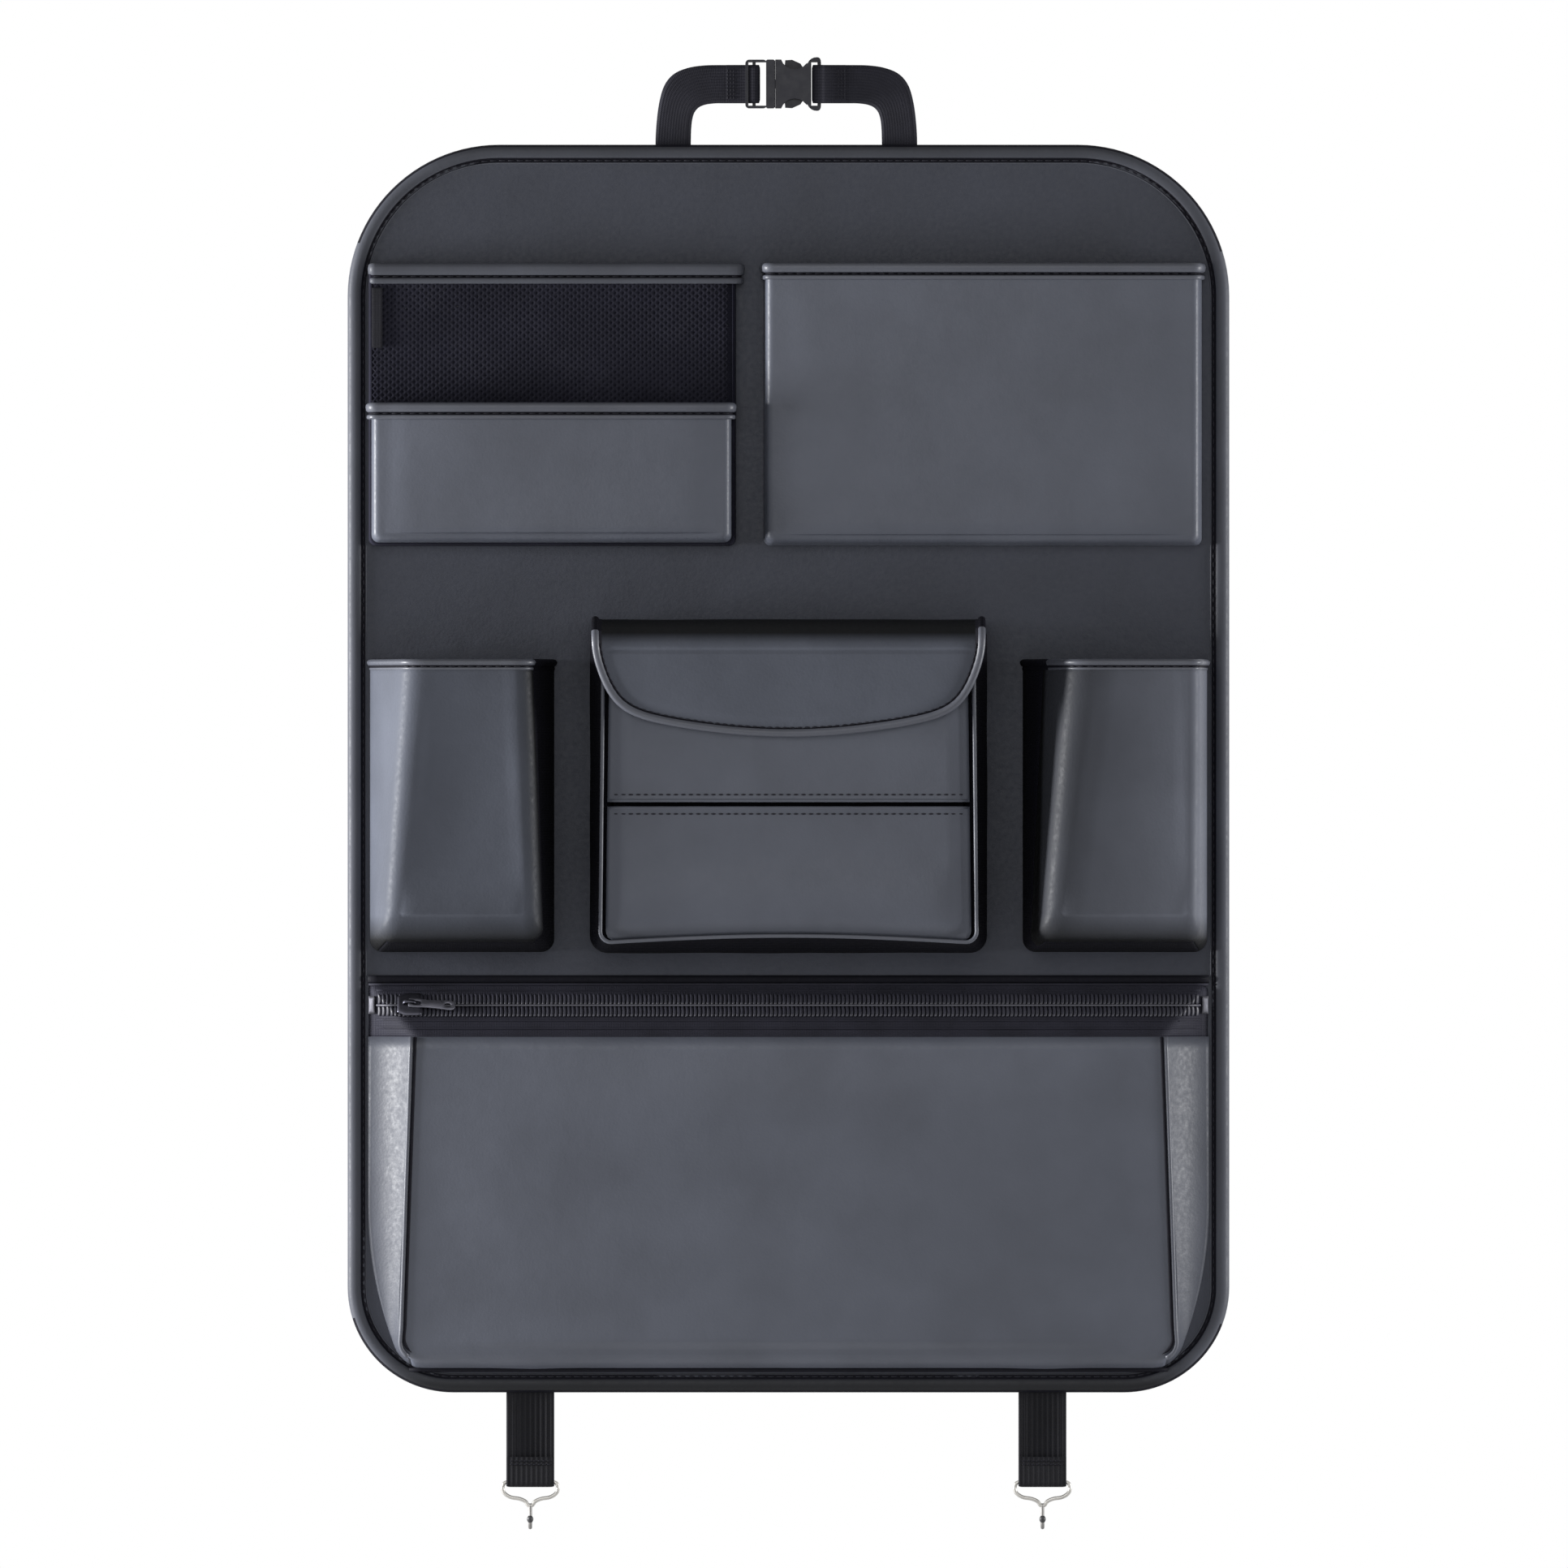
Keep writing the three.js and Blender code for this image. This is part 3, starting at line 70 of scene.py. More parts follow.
class Finish:
    """A node material: one shader, with colour, roughness and relief that come from procedural textures."""

    def __init__(self, name, colour, roughness, specular, metallic=0.0):
        self.material = bpy.data.materials.new(name)
        self.material.use_nodes = True
        self.tree = self.material.node_tree
        self.shader = self.tree.nodes["Principled BSDF"]
        self.set("Base Color", (*colour, 1))
        self.set("Roughness", roughness)
        self.set("Specular IOR Level", specular)
        self.set("Metallic", metallic)
        self.colour = colour
        coordinates = self.add("ShaderNodeTexCoord")
        self.place = coordinates.outputs["Object"]
        self.flat = coordinates.outputs["UV"]

    def set(self, socket, value):
        """The shader's socket at a value, or linked to another node's output."""
        if isinstance(value, bpy.types.NodeSocket):
            self.tree.links.new(value, self.shader.inputs[socket])
        else:
            self.shader.inputs[socket].default_value = value

    def add(self, kind, inputs=None, **settings):
        node = self.tree.nodes.new(kind)
        for key, value in settings.items():
            setattr(node, key, value)
        for key, value in (inputs or {}).items():
            if isinstance(value, bpy.types.NodeSocket):
                self.tree.links.new(value, node.inputs[key])
            else:
                node.inputs[key].default_value = value
        return node

    def noise(self, size, detail):
        """Noise whose features are about size millimetres across."""
        inputs = {"Vector": self.place, "Scale": 1000 / size, "Detail": detail}
        return self.add("ShaderNodeTexNoise", inputs).outputs["Fac"]

    def cells(self, size, feature="SMOOTH_F1"):
        """Pebbles about size millimetres across."""
        node = self.add("ShaderNodeTexVoronoi", {"Vector": self.place, "Scale": 1000 / size}, feature=feature)
        return node.outputs["Distance"]

    def bands(self, size, direction, where):
        """Soft bands, size from one to the next in the units of where, square to the direction."""
        inputs = {"Vector": where, "Scale": WAVE_SCALE / size}
        return self.add("ShaderNodeTexWave", inputs, bands_direction=direction).outputs["Fac"]

    def span(self, value, low, high, out_low, out_high):
        """The value, from low to high, drawn out from out_low to out_high."""
        inputs = {"Value": value, "From Min": low, "From Max": high, "To Min": out_low, "To Max": out_high}
        return self.add("ShaderNodeMapRange", inputs).outputs["Result"]

    def uneven(self, size, detail, low, high):
        """Values from low to high that wander over about size millimetres."""
        return self.span(self.noise(size, detail), 0.3, 0.7, low, high)

    def math(self, operation, a, b):
        return self.add("ShaderNodeMath", {0: a, 1: b}, operation=operation).outputs[0]

    def tone(self, factor, low, high):
        """The base colour, from low to high times the written colour as factor goes from 0 to 1."""
        node = self.add("ShaderNodeMix", {"Factor": factor}, data_type="RGBA")
        node.inputs["A"].default_value = (*(c * low for c in self.colour), 1)
        node.inputs["B"].default_value = (*(c * high for c in self.colour), 1)
        self.set("Base Color", node.outputs["Result"])

    def relief(self, *layers):
        """Relief from (height, distance in millimetres) layers, one over the other."""
        normal = None
        for height, distance in layers:
            inputs = {"Height": height, "Distance": distance / 1000, "Strength": 1.0}
            if normal:
                inputs["Normal"] = normal
            normal = self.add("ShaderNodeBump", inputs).outputs["Normal"]
        self.set("Normal", normal)


def leather(name, colour, roughness=0.46, specular=0.3, grain=0.05, creases=0.25, painted_shades=()):
    """Leatherette with a fine pebbled grain, soft creases and slightly uneven dye.
    Each painted shade is a direction, the distances along it in metres where the colour starts and stops to
    darken,
    and the share of the colour that is left: a darkening painted on the colour where shade falls."""
    f = Finish(name, colour, roughness, specular)
    pores = f.cells(1.25)
    shade = f.uneven(45, 3, 0.8, 1)
    # Painted shade: each entry darkens the colour along its direction, where shade falls on the piece.
    for direction, start, stop, share in painted_shades:
        along = f.add("ShaderNodeVectorMath", {0: f.place, 1: direction}, operation="DOT_PRODUCT")
        painted_shade = f.span(along.outputs["Value"], start, stop, 1, share)
        shade = f.math("MULTIPLY", shade, painted_shade)
    f.tone(shade, 0.0, 1.1)
    f.set("Roughness", f.uneven(2.4, 3, roughness - 0.06, roughness + 0.08))
    f.relief((f.noise(16, 2), creases), (pores, grain), (f.noise(0.7, 2), grain * 0.4))
    return f.material


def cloth(name, colour, roughness=0.85, pitch=0.9, specular=0.08):
    """Plain woven fabric."""
    f = Finish(name, colour, roughness, specular)
    stretch = f.add("ShaderNodeMapping", {"Vector": f.place, "Scale": (1000, 1000, 1000)}).outputs["Vector"]
    warp = f.bands(pitch, "Z", stretch)
    weft = f.bands(pitch, "X", stretch)
    deep = f.bands(pitch, "Y", stretch)
    weave = f.math("MULTIPLY", f.math("MAXIMUM", warp, weft), f.math("MAXIMUM", warp, deep))
    f.tone(f.uneven(30, 3, 0, 1), 0.8, 1.2)
    f.set("Roughness", f.uneven(3, 2, roughness - 0.08, min(roughness + 0.08, 1)))
    f.relief((weave, 0.12), (f.noise(0.5, 2), 0.05))
    return f.material


def webbing(name, colour, roughness=0.72, rib=1.5, rib_height=0.12, specular=0.15):
    """Woven tape: ribs along it, crossed by fine threads, in the strap's own flat pattern."""
    f = Finish(name, colour, roughness, specular)
    ribs = f.bands(rib, "X", f.flat)
    threads = f.bands(0.8, "Y", f.flat)
    f.tone(f.uneven(20, 3, 0, 1), 0.8, 1.25)
    f.set("Roughness", f.span(ribs, 0, 1, roughness - 0.05, roughness + 0.1))
    f.relief((ribs, rib_height), (threads, 0.06), (f.noise(0.6, 2), 0.04))
    return f.material


def plastic(name, colour, roughness=0.42, specular=0.4):
    """Moulded plastic with a fine matt texture and a little rubbing."""
    f = Finish(name, colour, roughness, specular)
    f.tone(f.span(f.noise(12, 3), 0.35, 0.7, 0, 1), 0.9, 1.15)
    f.set("Roughness", f.uneven(4, 4, roughness - 0.07, roughness + 0.1))
    f.relief((f.noise(0.5, 2), 0.02), (f.noise(6, 2), 0.02))
    return f.material


def metal(name, colour, roughness=0.28, wear=0.12):
    """Plated or painted metal with fine scratches."""
    f = Finish(name, colour, roughness, 0.5, 1.0)
    long = f.add("ShaderNodeMapping", {"Vector": f.place, "Scale": (1, 1, 0.15)}).outputs["Vector"]
    scratches = f.add("ShaderNodeTexNoise", {"Vector": long, "Scale": 2500, "Detail": 3.0}).outputs["Fac"]
    f.tone(f.uneven(5, 3, 0, 1), 0.88, 1.1)
    f.set("Roughness", f.span(scratches, 0.3, 0.7, roughness, roughness + wear))
    f.relief((scratches, 0.006), (f.noise(3, 2), 0.015))
    return f.material


def felt(name, colour, roughness=0.95):
    """Pressed fibre lining with a dimpled bond pattern."""
    f = Finish(name, colour, roughness, 0.05)
    f.set("Sheen Weight", 0.15)
    dimples = f.cells(2.2, "F1")
    f.tone(f.uneven(4, 4, 0, 1), 0.8, 1.25)
    f.set("Roughness", f.uneven(6, 2, roughness - 0.1, 1.0))
    f.relief((dimples, 0.25), (f.noise(0.4, 3), 0.08))
    return f.material


def thread(name, colour):
    """Twisted sewing thread."""
    f = Finish(name, colour, 0.6, 0.2)
    f.tone(f.noise(1.2, 2), 0.7, 1.3)
    f.set("Roughness", f.uneven(0.5, 2, 0.5, 0.75))
    f.relief((f.noise(0.35, 2), 0.05))
    return f.material


# The panel's copy of the pocket leather is set darker: painted shade for the panel lying behind the pockets.
COVER = leather("cover_leatherette", (0.03, 0.033, 0.045), roughness=0.5, specular=0.25)
POCKET = leather("pocket_leatherette", (0.068, 0.074, 0.094), roughness=0.46, specular=0.3)
UP, DOWN = (0, 0, 1), (0, 0, -1)
# Painted shade: both cups darken towards their feet, where the front turns under away from the light.
CUP_FOOT_PAINTED_SHADE = (DOWN, 0.0765, 0.0895, 0.03)
# Painted shade: the left cup's front darkens to black towards its inner side, by the black fabric.
LEFT_CUP_PAINTED_SHADES = [CUP_FOOT_PAINTED_SHADE, ((1, 0, 0.045), -0.1412, -0.1312, 0.03)]
# Painted shade: the right cup's front darkens towards its left side in two steps, for the tissue pocket's
# shadow on it; the last entry blackens the leather next to the black fabric.
RIGHT_CUP_PAINTED_SHADES = [
    CUP_FOOT_PAINTED_SHADE,
    ((-1, 0, 0.133), -0.205, -0.16, 0.72),
    ((-1, 0, 0.133), -0.165, -0.143, 0.4),
    ((-1, 0, 0.023), -0.1332, -0.1316, 0.03),
]
# The cups' leather comes in two copies, darker on the left cup and lighter on the right, set for the light
# that falls on each.
CUPS = {
    "left": leather("left_cup_leatherette", (0.062, 0.068, 0.086), 0.55, 0.15, painted_shades=LEFT_CUP_PAINTED_SHADES),
    "right": leather("right_cup_leatherette", (0.083, 0.089, 0.109), 0.55, 0.15, painted_shades=RIGHT_CUP_PAINTED_SHADES),
}
# A darker copy of the pocket leather for the zip pocket's side walls: painted shade that tones down the light
# they catch.
SIDE_PAINTED_SHADE = leather("side_leatherette_painted_shade", (0.05, 0.054, 0.068), roughness=0.5, specular=0.25)
# Painted shade: the flap darkens towards its crown, where it turns up away from the light.
FLAP = leather("flap_leatherette", (0.079, 0.086, 0.107), roughness=0.55, specular=0.1,
               painted_shades=[(UP, 0.0645, 0.0705, 0.03)])
SMOOTH = {"grain": 0.03, "creases": 0.1}
BINDING = leather("binding_leatherette", (0.062, 0.066, 0.082), 0.42, 0.35, **SMOOTH)
# Painted shade: the edge binding darkens strongly along the foot and more lightly along the top, where the
# roll turns away from the lamps.
EDGE_PAINTED_SHADES = [(DOWN, 0.307, 0.321, 0.14), (UP, 0.312, 0.325, 0.5)]
EDGE = leather("edge_leatherette", (0.058, 0.0615, 0.075), 0.5, 0.18, painted_shades=EDGE_PAINTED_SHADES, **SMOOTH)
GUSSET = cloth("gusset_cloth", (0.002, 0.002, 0.004))
NET = cloth("net_fabric", (0.0125, 0.0125, 0.02), pitch=0.5, specular=0.1)
BACKING = cloth("net_backing", (0.0105, 0.0105, 0.0175), pitch=0.7)
LINING = felt("lining_felt", (0.018, 0.018, 0.024))
BOARD = felt("board_fibre", (0.25, 0.24, 0.21))
FASTENER = felt("fastener_fibre", (0.012, 0.012, 0.016))
WEB = webbing("strap_webbing", (0.014, 0.014, 0.02))
ELASTIC = webbing("elastic_webbing", (0.006, 0.006, 0.008), rib=2.6, rib_height=0.3)
TAPE = webbing("zip_tape", (0.016, 0.016, 0.024), rib=1.2, rib_height=0.08)
TAG = webbing("tag_cloth", (0.006, 0.006, 0.009), rib=0.6, rib_height=0.05)
TEETH = plastic("zip_coil", (0.024, 0.024, 0.034), roughness=0.45)
BUCKLE = plastic("buckle_plastic", (0.008, 0.0082, 0.0125), specular=0.25)
SLIDER = metal("slider_metal", (0.06, 0.06, 0.075), roughness=0.35)
PULL = metal("pull_metal", (0.16, 0.16, 0.19), roughness=0.4)
STOP = metal("stop_metal", (0.1, 0.1, 0.115), roughness=0.6)
NICKEL = metal("nickel_wire", (0.4, 0.39, 0.37), roughness=0.3)
STEM = metal("stem_metal", (0.2, 0.195, 0.19), roughness=0.5)
TIP = plastic("hook_tip_plastic", (0.02, 0.02, 0.022))
TEETH_LIGHT = plastic("zip_chain", (0.07, 0.07, 0.085), roughness=0.5)
# Near-black leather for the zip's welt, and for painted shade: in stitched grooves, where it is partly the
# thread's colour, on shaded edges and along seam lines.
BLACK_AND_PAINTED_SHADE = leather("stitched_groove_and_painted_shade", (0.004, 0.004, 0.007), 0.7, 0.1, **SMOOTH)
THREAD = thread("dark_thread", (0.004, 0.004, 0.008))


# Meshes


def piece(name, points, faces, material, body=ROOT, slot=None, replaces=(), closed=False, flat=None,
          weld=False, thickness=None):
    """A mesh object from points in millimetres. flat gives a place in the flat pattern for each point, weld
    joins the points that lie on each other, and thickness makes a sheet of them solid."""
    used = sorted({i for face in faces for i in face})
    index = {old: new for new, old in enumerate(used)}
    mesh = bpy.data.meshes.new(name)
    placed = [Vector((points[i][0], -points[i][1], points[i][2])) * 0.001 for i in used]
    mesh.from_pydata(placed, [], [[index[i] for i in face] for face in faces])
    if flat:
        layer = mesh.uv_layers.new(name="flat_pattern")
        for loop in mesh.loops:
            layer.data[loop.index].uv = flat[used[loop.vertex_index]]
    if closed or weld:
        shell = bmesh.new()
        shell.from_mesh(mesh)
        if weld:
            bmesh.ops.remove_doubles(shell, verts=shell.verts, dist=0.00002)
        if closed:
            bmesh.ops.recalc_face_normals(shell, faces=shell.faces)
        shell.to_mesh(mesh)
        shell.free()
    mesh.polygons.foreach_set("use_smooth", [True] * len(mesh.polygons))
    mesh.materials.append(material)
    obj = bpy.data.objects.new(name, mesh)
    bpy.context.scene.collection.objects.link(obj)
    if body:
        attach(obj, body)
    if replaces:
        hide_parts(*replaces)
    if thickness:
        modifier = obj.modifiers.new("thickness", "SOLIDIFY")
        modifier.thickness = thickness / 1000
        modifier.offset = -1
        modifier.use_even_offset = True
    return obj


def soften(obj, width, segments):
    """Rounds the sharp edges of a piece."""
    bevel = obj.modifiers.new("soft_edges", "BEVEL")
    bevel.width = width / 1000
    bevel.segments = segments
    bevel.limit_method = "ANGLE"
    return bevel


def quads(rows, columns, start=0, around=False, loop=False):
    """Faces of a grid of points kept row by row; around joins the last column to the first, loop the rows."""
    faces = []
    for r in range(rows if loop else rows - 1):
        for c in range(columns if around else columns - 1):
            a = start + r * columns + c
            b = start + ((r + 1) % rows) * columns + c
            next_c = (c + 1) % columns - c
            faces.append((a, b, b + next_c, a + next_c))
    return faces


def end_faces(rings, sides, start=0):
    """The two faces that close a run of rings."""
    last = start + (rings - 1) * sides
    return [tuple(range(start, start + sides)), tuple(reversed(range(last, last + sides)))]


def grid(rows, columns, place):
    """Points at place(v, u), for the shares v down the rows and u along the columns, and their faces."""
    points = [place(r / rows, c / columns) for r in range(rows + 1) for c in range(columns + 1)]
    return points, quads(rows + 1, columns + 1)


def mix(a, b, share):
    return a + (b - a) * share


def spaced(low, high, count):
    """Values from low to high in count equal steps."""
    return [mix(low, high, i / count) for i in range(count + 1)]


def ease(t):
    t = min(max(t, 0.0), 1.0)
    return t * t * (3 - 2 * t)


def bell(value, middle, width):
    """A smooth hump of height 1 at the middle."""
    return math.exp(-(((value - middle) / width) ** 2))


def heading(line, i):
    """The direction of a line of points at point i."""
    return (line[min(i + 1, len(line) - 1)] - line[max(i - 1, 0)]).normalized()


def ripple(x, z, size, seed=0.0):
    """A smooth wave between -1 and 1 over the cloth, size millimetres across."""
    return noise.noise(Vector((x / size, z / size, seed)))


def resample(path, step=None, count=None):
    """Points along a line of points, with the direction at each: in the middles of stretches of about step
    millimetres, or at the ends of count equal stretches."""
    lengths = [0.0]
    for a, b in zip(path, path[1:]):
        lengths.append(lengths[-1] + (b - a).length)
    total = lengths[-1]
    if step:
        count = max(int(round(total / step)), 1)
        targets = [total * (i + 0.5) / count for i in range(count)]
    else:
        targets = [total * i / count for i in range(count + 1)]
    found = []
    segment = 0
    for target in targets:
        while segment < len(path) - 2 and lengths[segment + 1] < target:
            segment += 1
        a, b = path[segment], path[segment + 1]
        share = (target - lengths[segment]) / max((b - a).length, 1e-9)
        found.append((a.lerp(b, share), (b - a).normalized()))
    return found


def rounded(path, closed=False, times=2):
    """The line with its corners cut, so that it bends softly."""
    for _ in range(times):
        pairs = list(zip(path, path[1:] + path[:1])) if closed else list(zip(path, path[1:]))
        cut = []
        for a, b in pairs:
            cut += [a.lerp(b, 0.25), a.lerp(b, 0.75)]
        path = cut if closed else [path[0]] + cut + [path[-1]]
    return path


def stitches(name, paths, pitch=STITCH_PITCH, length=STITCH_LENGTH, width=1.0, body=ROOT):
    """A row of stitches along each path, as small threads that dip into the leather at both ends."""
    points, faces = [], []
    rings, sides = 4, 6
    for path in paths:
        for middle, along in resample(path, step=pitch):
            across = along.cross(TO_FRONT).normalized()
            up = across.cross(along).normalized()
            start = len(points)
            for r in range(rings + 1):
                turn = math.pi * r / rings
                reach = -math.cos(turn) * length / 2
                girth = max(math.sin(turn), 0.15)
                for s in range(sides):
                    spin = 2 * math.pi * s / sides
                    out = across * (math.cos(spin) * girth * width / 2)
                    points.append(middle + along * reach + out + up * (math.sin(spin) * girth * width * 0.4))
            faces += quads(rings + 1, sides, start, around=True) + end_faces(rings + 1, sides, start)
    piece(name, points, faces, THREAD, body=body, closed=True)


def sweep(name, stations, profile, material, loop=False, flat=False, crease=None, dark=None, rim=None,
          **rest):
    """A closed profile carried along stations of (middle, first axis, second axis).
    crease gives the first and last edge of the profile that lie in a stitched groove, which get the
    near-black material:
    the thread's colour and painted shade. dark gives the stations that get the black fabric material, fabric
    over them and, on the flap's crown, painted shade. rim gives the edges that get the near-black material as
    painted shade where the sweep doesn't run upright."""
    points, pattern = [], []
    along = 0.0
    for i, (middle, first, second) in enumerate(stations):
        if i:
            along += (middle - stations[i - 1][0]).length
        for p, q in profile:
            points.append(middle + first * p + second * q)
            pattern.append((p, along))
    count, size = len(stations), len(profile)
    faces = quads(count, size, around=True, loop=loop)
    if not loop:
        faces += end_faces(count, size)
    made = piece(name, points, faces, material, closed=True, flat=pattern if flat else None, **rest)
    if crease or dark:
        made.data.materials.append(BLACK_AND_PAINTED_SHADE)
        made.data.materials.append(GUSSET)
        for i, face in enumerate(made.data.polygons):
            station, edge = divmod(i, size)
            if crease and station < count and crease[0] <= edge <= crease[1]:
                face.material_index = 1
            # Painted shade on the rim edges where the sweep runs along the top, the foot or a corner.
            in_shade = rim and station < count and rim[0] <= edge <= rim[1]
            if in_shade and abs(stations[station][1].z) > 0.3:
                face.material_index = 1
            if dark and station < count - 1 and dark(stations[station]):
                face.material_index = 2
    return made


def circle(radius, sides=12):
    turns = [2 * math.pi * i / sides for i in range(sides)]
    return [(radius * math.cos(turn), radius * math.sin(turn)) for turn in turns]


def tube(name, path, radius, material, loop=False, sides=12, **rest):
    """A round tube along a line of points; radius may be a function of the share along it."""
    count = len(path)
    stations = []
    side = None
    for i, point in enumerate(path):
        before = path[i - 1] if i or loop else path[0]
        after = path[(i + 1) % count] if i < count - 1 or loop else path[-1]
        along = (after - before).normalized()
        if side is None:
            side = along.orthogonal().normalized()
        side = (side - along * side.dot(along)).normalized()
        size = radius(i / (count - 1)) if callable(radius) else radius
        stations.append((point, side * size, along.cross(side) * size))
    return sweep(name, stations, circle(1.0, sides), material, loop=loop, **rest)


def spline(controls, closed=False, steps=6):
    """A smooth line through the control points."""
    count = len(controls)

    def control(i):
        return controls[i % count] if closed else controls[min(max(i, 0), count - 1)]

    found = []
    for i in range(count if closed else count - 1):
        p = [control(i + k) for k in (-1, 0, 1, 2)]
        knots = [0.0]
        for a, b in zip(p, p[1:]):
            knots.append(knots[-1] + max((b - a).length, 1e-4) ** 0.5)
        for step in range(steps):
            at = mix(knots[1], knots[2], step / steps)
            first = [p[k].lerp(p[k + 1], (at - knots[k]) / (knots[k + 1] - knots[k])) for k in range(3)]
            ends = [first[k].lerp(first[k + 1], (at - knots[k]) / (knots[k + 2] - knots[k])) for k in (0, 1)]
            found.append(ends[0].lerp(ends[1], (at - knots[1]) / (knots[2] - knots[1])))
    if not closed:
        found.append(controls[-1])
    return found


# Outlines that run down the left side, across the foot and up the right side

SIDE_STEPS = 22
ARC_STEPS = 8
FOOT_STEPS = 34
U_SIDE = SIDE_STEPS + ARC_STEPS // 2
U_FOOT = FOOT_STEPS + ARC_STEPS


def u_line(left_top, right_top, left_low, right_low, top, low, radius, depth):
    """The outline as points; depth is a number or a function of z."""
    level = depth if callable(depth) else lambda z: depth
    heights = [mix(top, low + radius, i / SIDE_STEPS) for i in range(SIDE_STEPS)]
    arc = [(1 - math.cos(turn), 1 - math.sin(turn)) for turn in spaced(0, math.pi / 2, ARC_STEPS)]
    flat = [(mix(left_top, left_low, (top - z) / (top - low)), z) for z in heights]
    flat += [(left_low + radius * across, low + radius * up) for across, up in arc]
    flat += [(x, low) for x in spaced(left_low + radius, right_low - radius, FOOT_STEPS)[1:-1]]
    flat += [(right_low - radius * across, low + radius * up) for across, up in reversed(arc)]
    flat += [(mix(right_top, right_low, (top - z) / (top - low)), z) for z in reversed(heights)]
    return [Vector((x, level(z), z)) for x, z in flat]


def tray(base, rim, inner, puff, walls=5, rounds=4, sag=None):
    """A pocket's skin: a front inside the inner outline, rounded over the rim and down walls to the base.
    puff gives, for the shares across and down the front, how far it swells.
    sag gives, for a point of the base, how far the wall there sags towards the panel.
    Returns its points, the front's faces, the walls' faces and the points round its mouth."""
    rows, columns = U_SIDE + 1, U_FOOT + 1
    left = inner[: U_SIDE + 1]
    foot = inner[U_SIDE : U_SIDE + U_FOOT + 1]
    right = list(reversed(inner[U_SIDE + U_FOOT :]))
    points = []
    for r in range(rows):
        v = r / (rows - 1)
        for c in range(columns):
            u = c / (columns - 1)
            mouth = left[0].lerp(right[0], u)
            spot = left[r] * (1 - u) + right[r] * u + mouth * (1 - v) + foot[c] * v
            spot -= left[0] * ((1 - u) * (1 - v)) + right[0] * (u * (1 - v))
            spot -= foot[0] * ((1 - u) * v) + foot[-1] * (u * v)
            spot.y += puff(u, v, spot)
            points.append(spot)
    front = quads(rows, columns)
    start = len(points)
    rings = [inner]
    for k in range(1, rounds + 1):
        t = k / rounds
        turned = []
        for a, b, c in zip(inner, rim, base):
            down = b.lerp(c, min((a - b).length / max((c - b).length, 1e-6), 0.45))
            turned.append(a * (1 - t) ** 2 + b * (2 * t * (1 - t)) + down * t**2)
        rings.append(turned)
    last = rings[-1]
    bends = []
    for a, b in zip(last, base):
        bend = (a + b) / 2
        bend.y -= (sag(b) if sag else 0) * (a.y - b.y) / 2
        bends.append(bend)
    for k in range(1, walls + 1):
        t = k / walls
        shares = ((1 - t) ** 2, 2 * t * (1 - t), t**2)
        rings.append([a * shares[0] + m * shares[1] + b * shares[2] for a, m, b in zip(last, bends, base)])
    for ring in rings:
        points += [p.copy() for p in ring]
    side = quads(len(rings), len(inner), start)
    mouth = [rings[k][0] for k in reversed(range(len(rings)))]
    mouth += [points[c].copy() for c in range(1, columns - 1)]
    mouth += [ring[-1] for ring in rings]
    return points, front, side, mouth


def mouth_stations(mouth, top):
    """Stations along a pocket's mouth: outward is the first axis and up the second."""
    line = [Vector((p.x, p.y, top)) for p in mouth]
    clean = [line[0]]
    for p in line[1:]:
        if (p - clean[-1]).length > 0.4:
            clean.append(p)
    stations = []
    for i, p in enumerate(clean):
        along = heading(clean, i)
        stations.append((p, Vector((-along.y, along.x, 0)), Vector((0, 0, 1))))
    return stations


def hem(name, mouth, top, height, node, wall=LEATHER, groove_share=0.34, spread=(0, 0), in_fabric=None,
        lip=True, material=BINDING):
    """A band folded over a pocket's mouth, with a groove and stitches near its lower edge.
    spread is how far its left and right ends stand out from the pocket, in_fabric says which stations are
    covered with fabric, and lip is a fold below the groove."""
    left_x = min(p.x for p in mouth)
    right_x = max(p.x for p in mouth)

    def widened(x):
        share = (x - left_x) / (right_x - left_x)
        return x + mix(-spread[0], spread[1], share)

    stations = mouth_stations([Vector((widened(p.x), p.y, p.z)) for p in mouth], top)
    groove = -height * (1 - groove_share)
    back = -(wall + 1.3)
    fold_out = 1.55 if lip else 0.4
    roll_out = 2.15 if lip else 1.7
    profile = [
        (0.2 if lip else -0.3, -height),
        (fold_out * 0.6, -height - 0.1),
        (fold_out, -height + 0.5),
        (fold_out, groove - 1.2 if lip else groove - 0.7),
        (fold_out * 0.7, groove - 0.7 if lip else groove - 0.5),
        (0.2, groove - 0.35),
        (0.2, groove + 0.35),
        (0.9, groove + 0.75),
        (roll_out * 0.85, groove + 1.5),
        (roll_out, mix(groove + 1.5, 0, 0.5)),
        (roll_out * 0.85, -0.9),
        (roll_out * 0.45, -0.15),
        (-0.4, 0.2),
        (back + 1.0, -0.1),
        (back + 0.2, -1.0),
        (back, -2.0),
        (back, -height + 0.6),
        (back + 0.4, -height),
        (back + 1.1, -height + 0.1),
    ]

    # The groove's faces get the near-black material: the thread's colour and painted shade.
    sweep(name, stations, profile, material, slot="binding_leather", replaces=[node], crease=(4, 6),
          dark=in_fabric)
    line = [p + out * 0.5 + Vector((0, 0, groove)) for p, out, _ in stations]
    front = [p for p, (_, out, _) in zip(line, stations) if out.y > 0.6]
    stitches(name + "_stitches", [front])


# The panel


def panel_half(z, inset):
    """Half the panel's width at a height, less the inset."""
    radius = (TOP_RADIUS if z > 0 else BOTTOM_RADIUS) - inset
    rise = abs(z) - (PANEL_HALF_HEIGHT - inset - radius)
    half = PANEL_HALF_WIDTH - inset
    if rise <= 0:
        return half
    return half - radius + math.sqrt(max(radius * radius - rise * rise, 0))


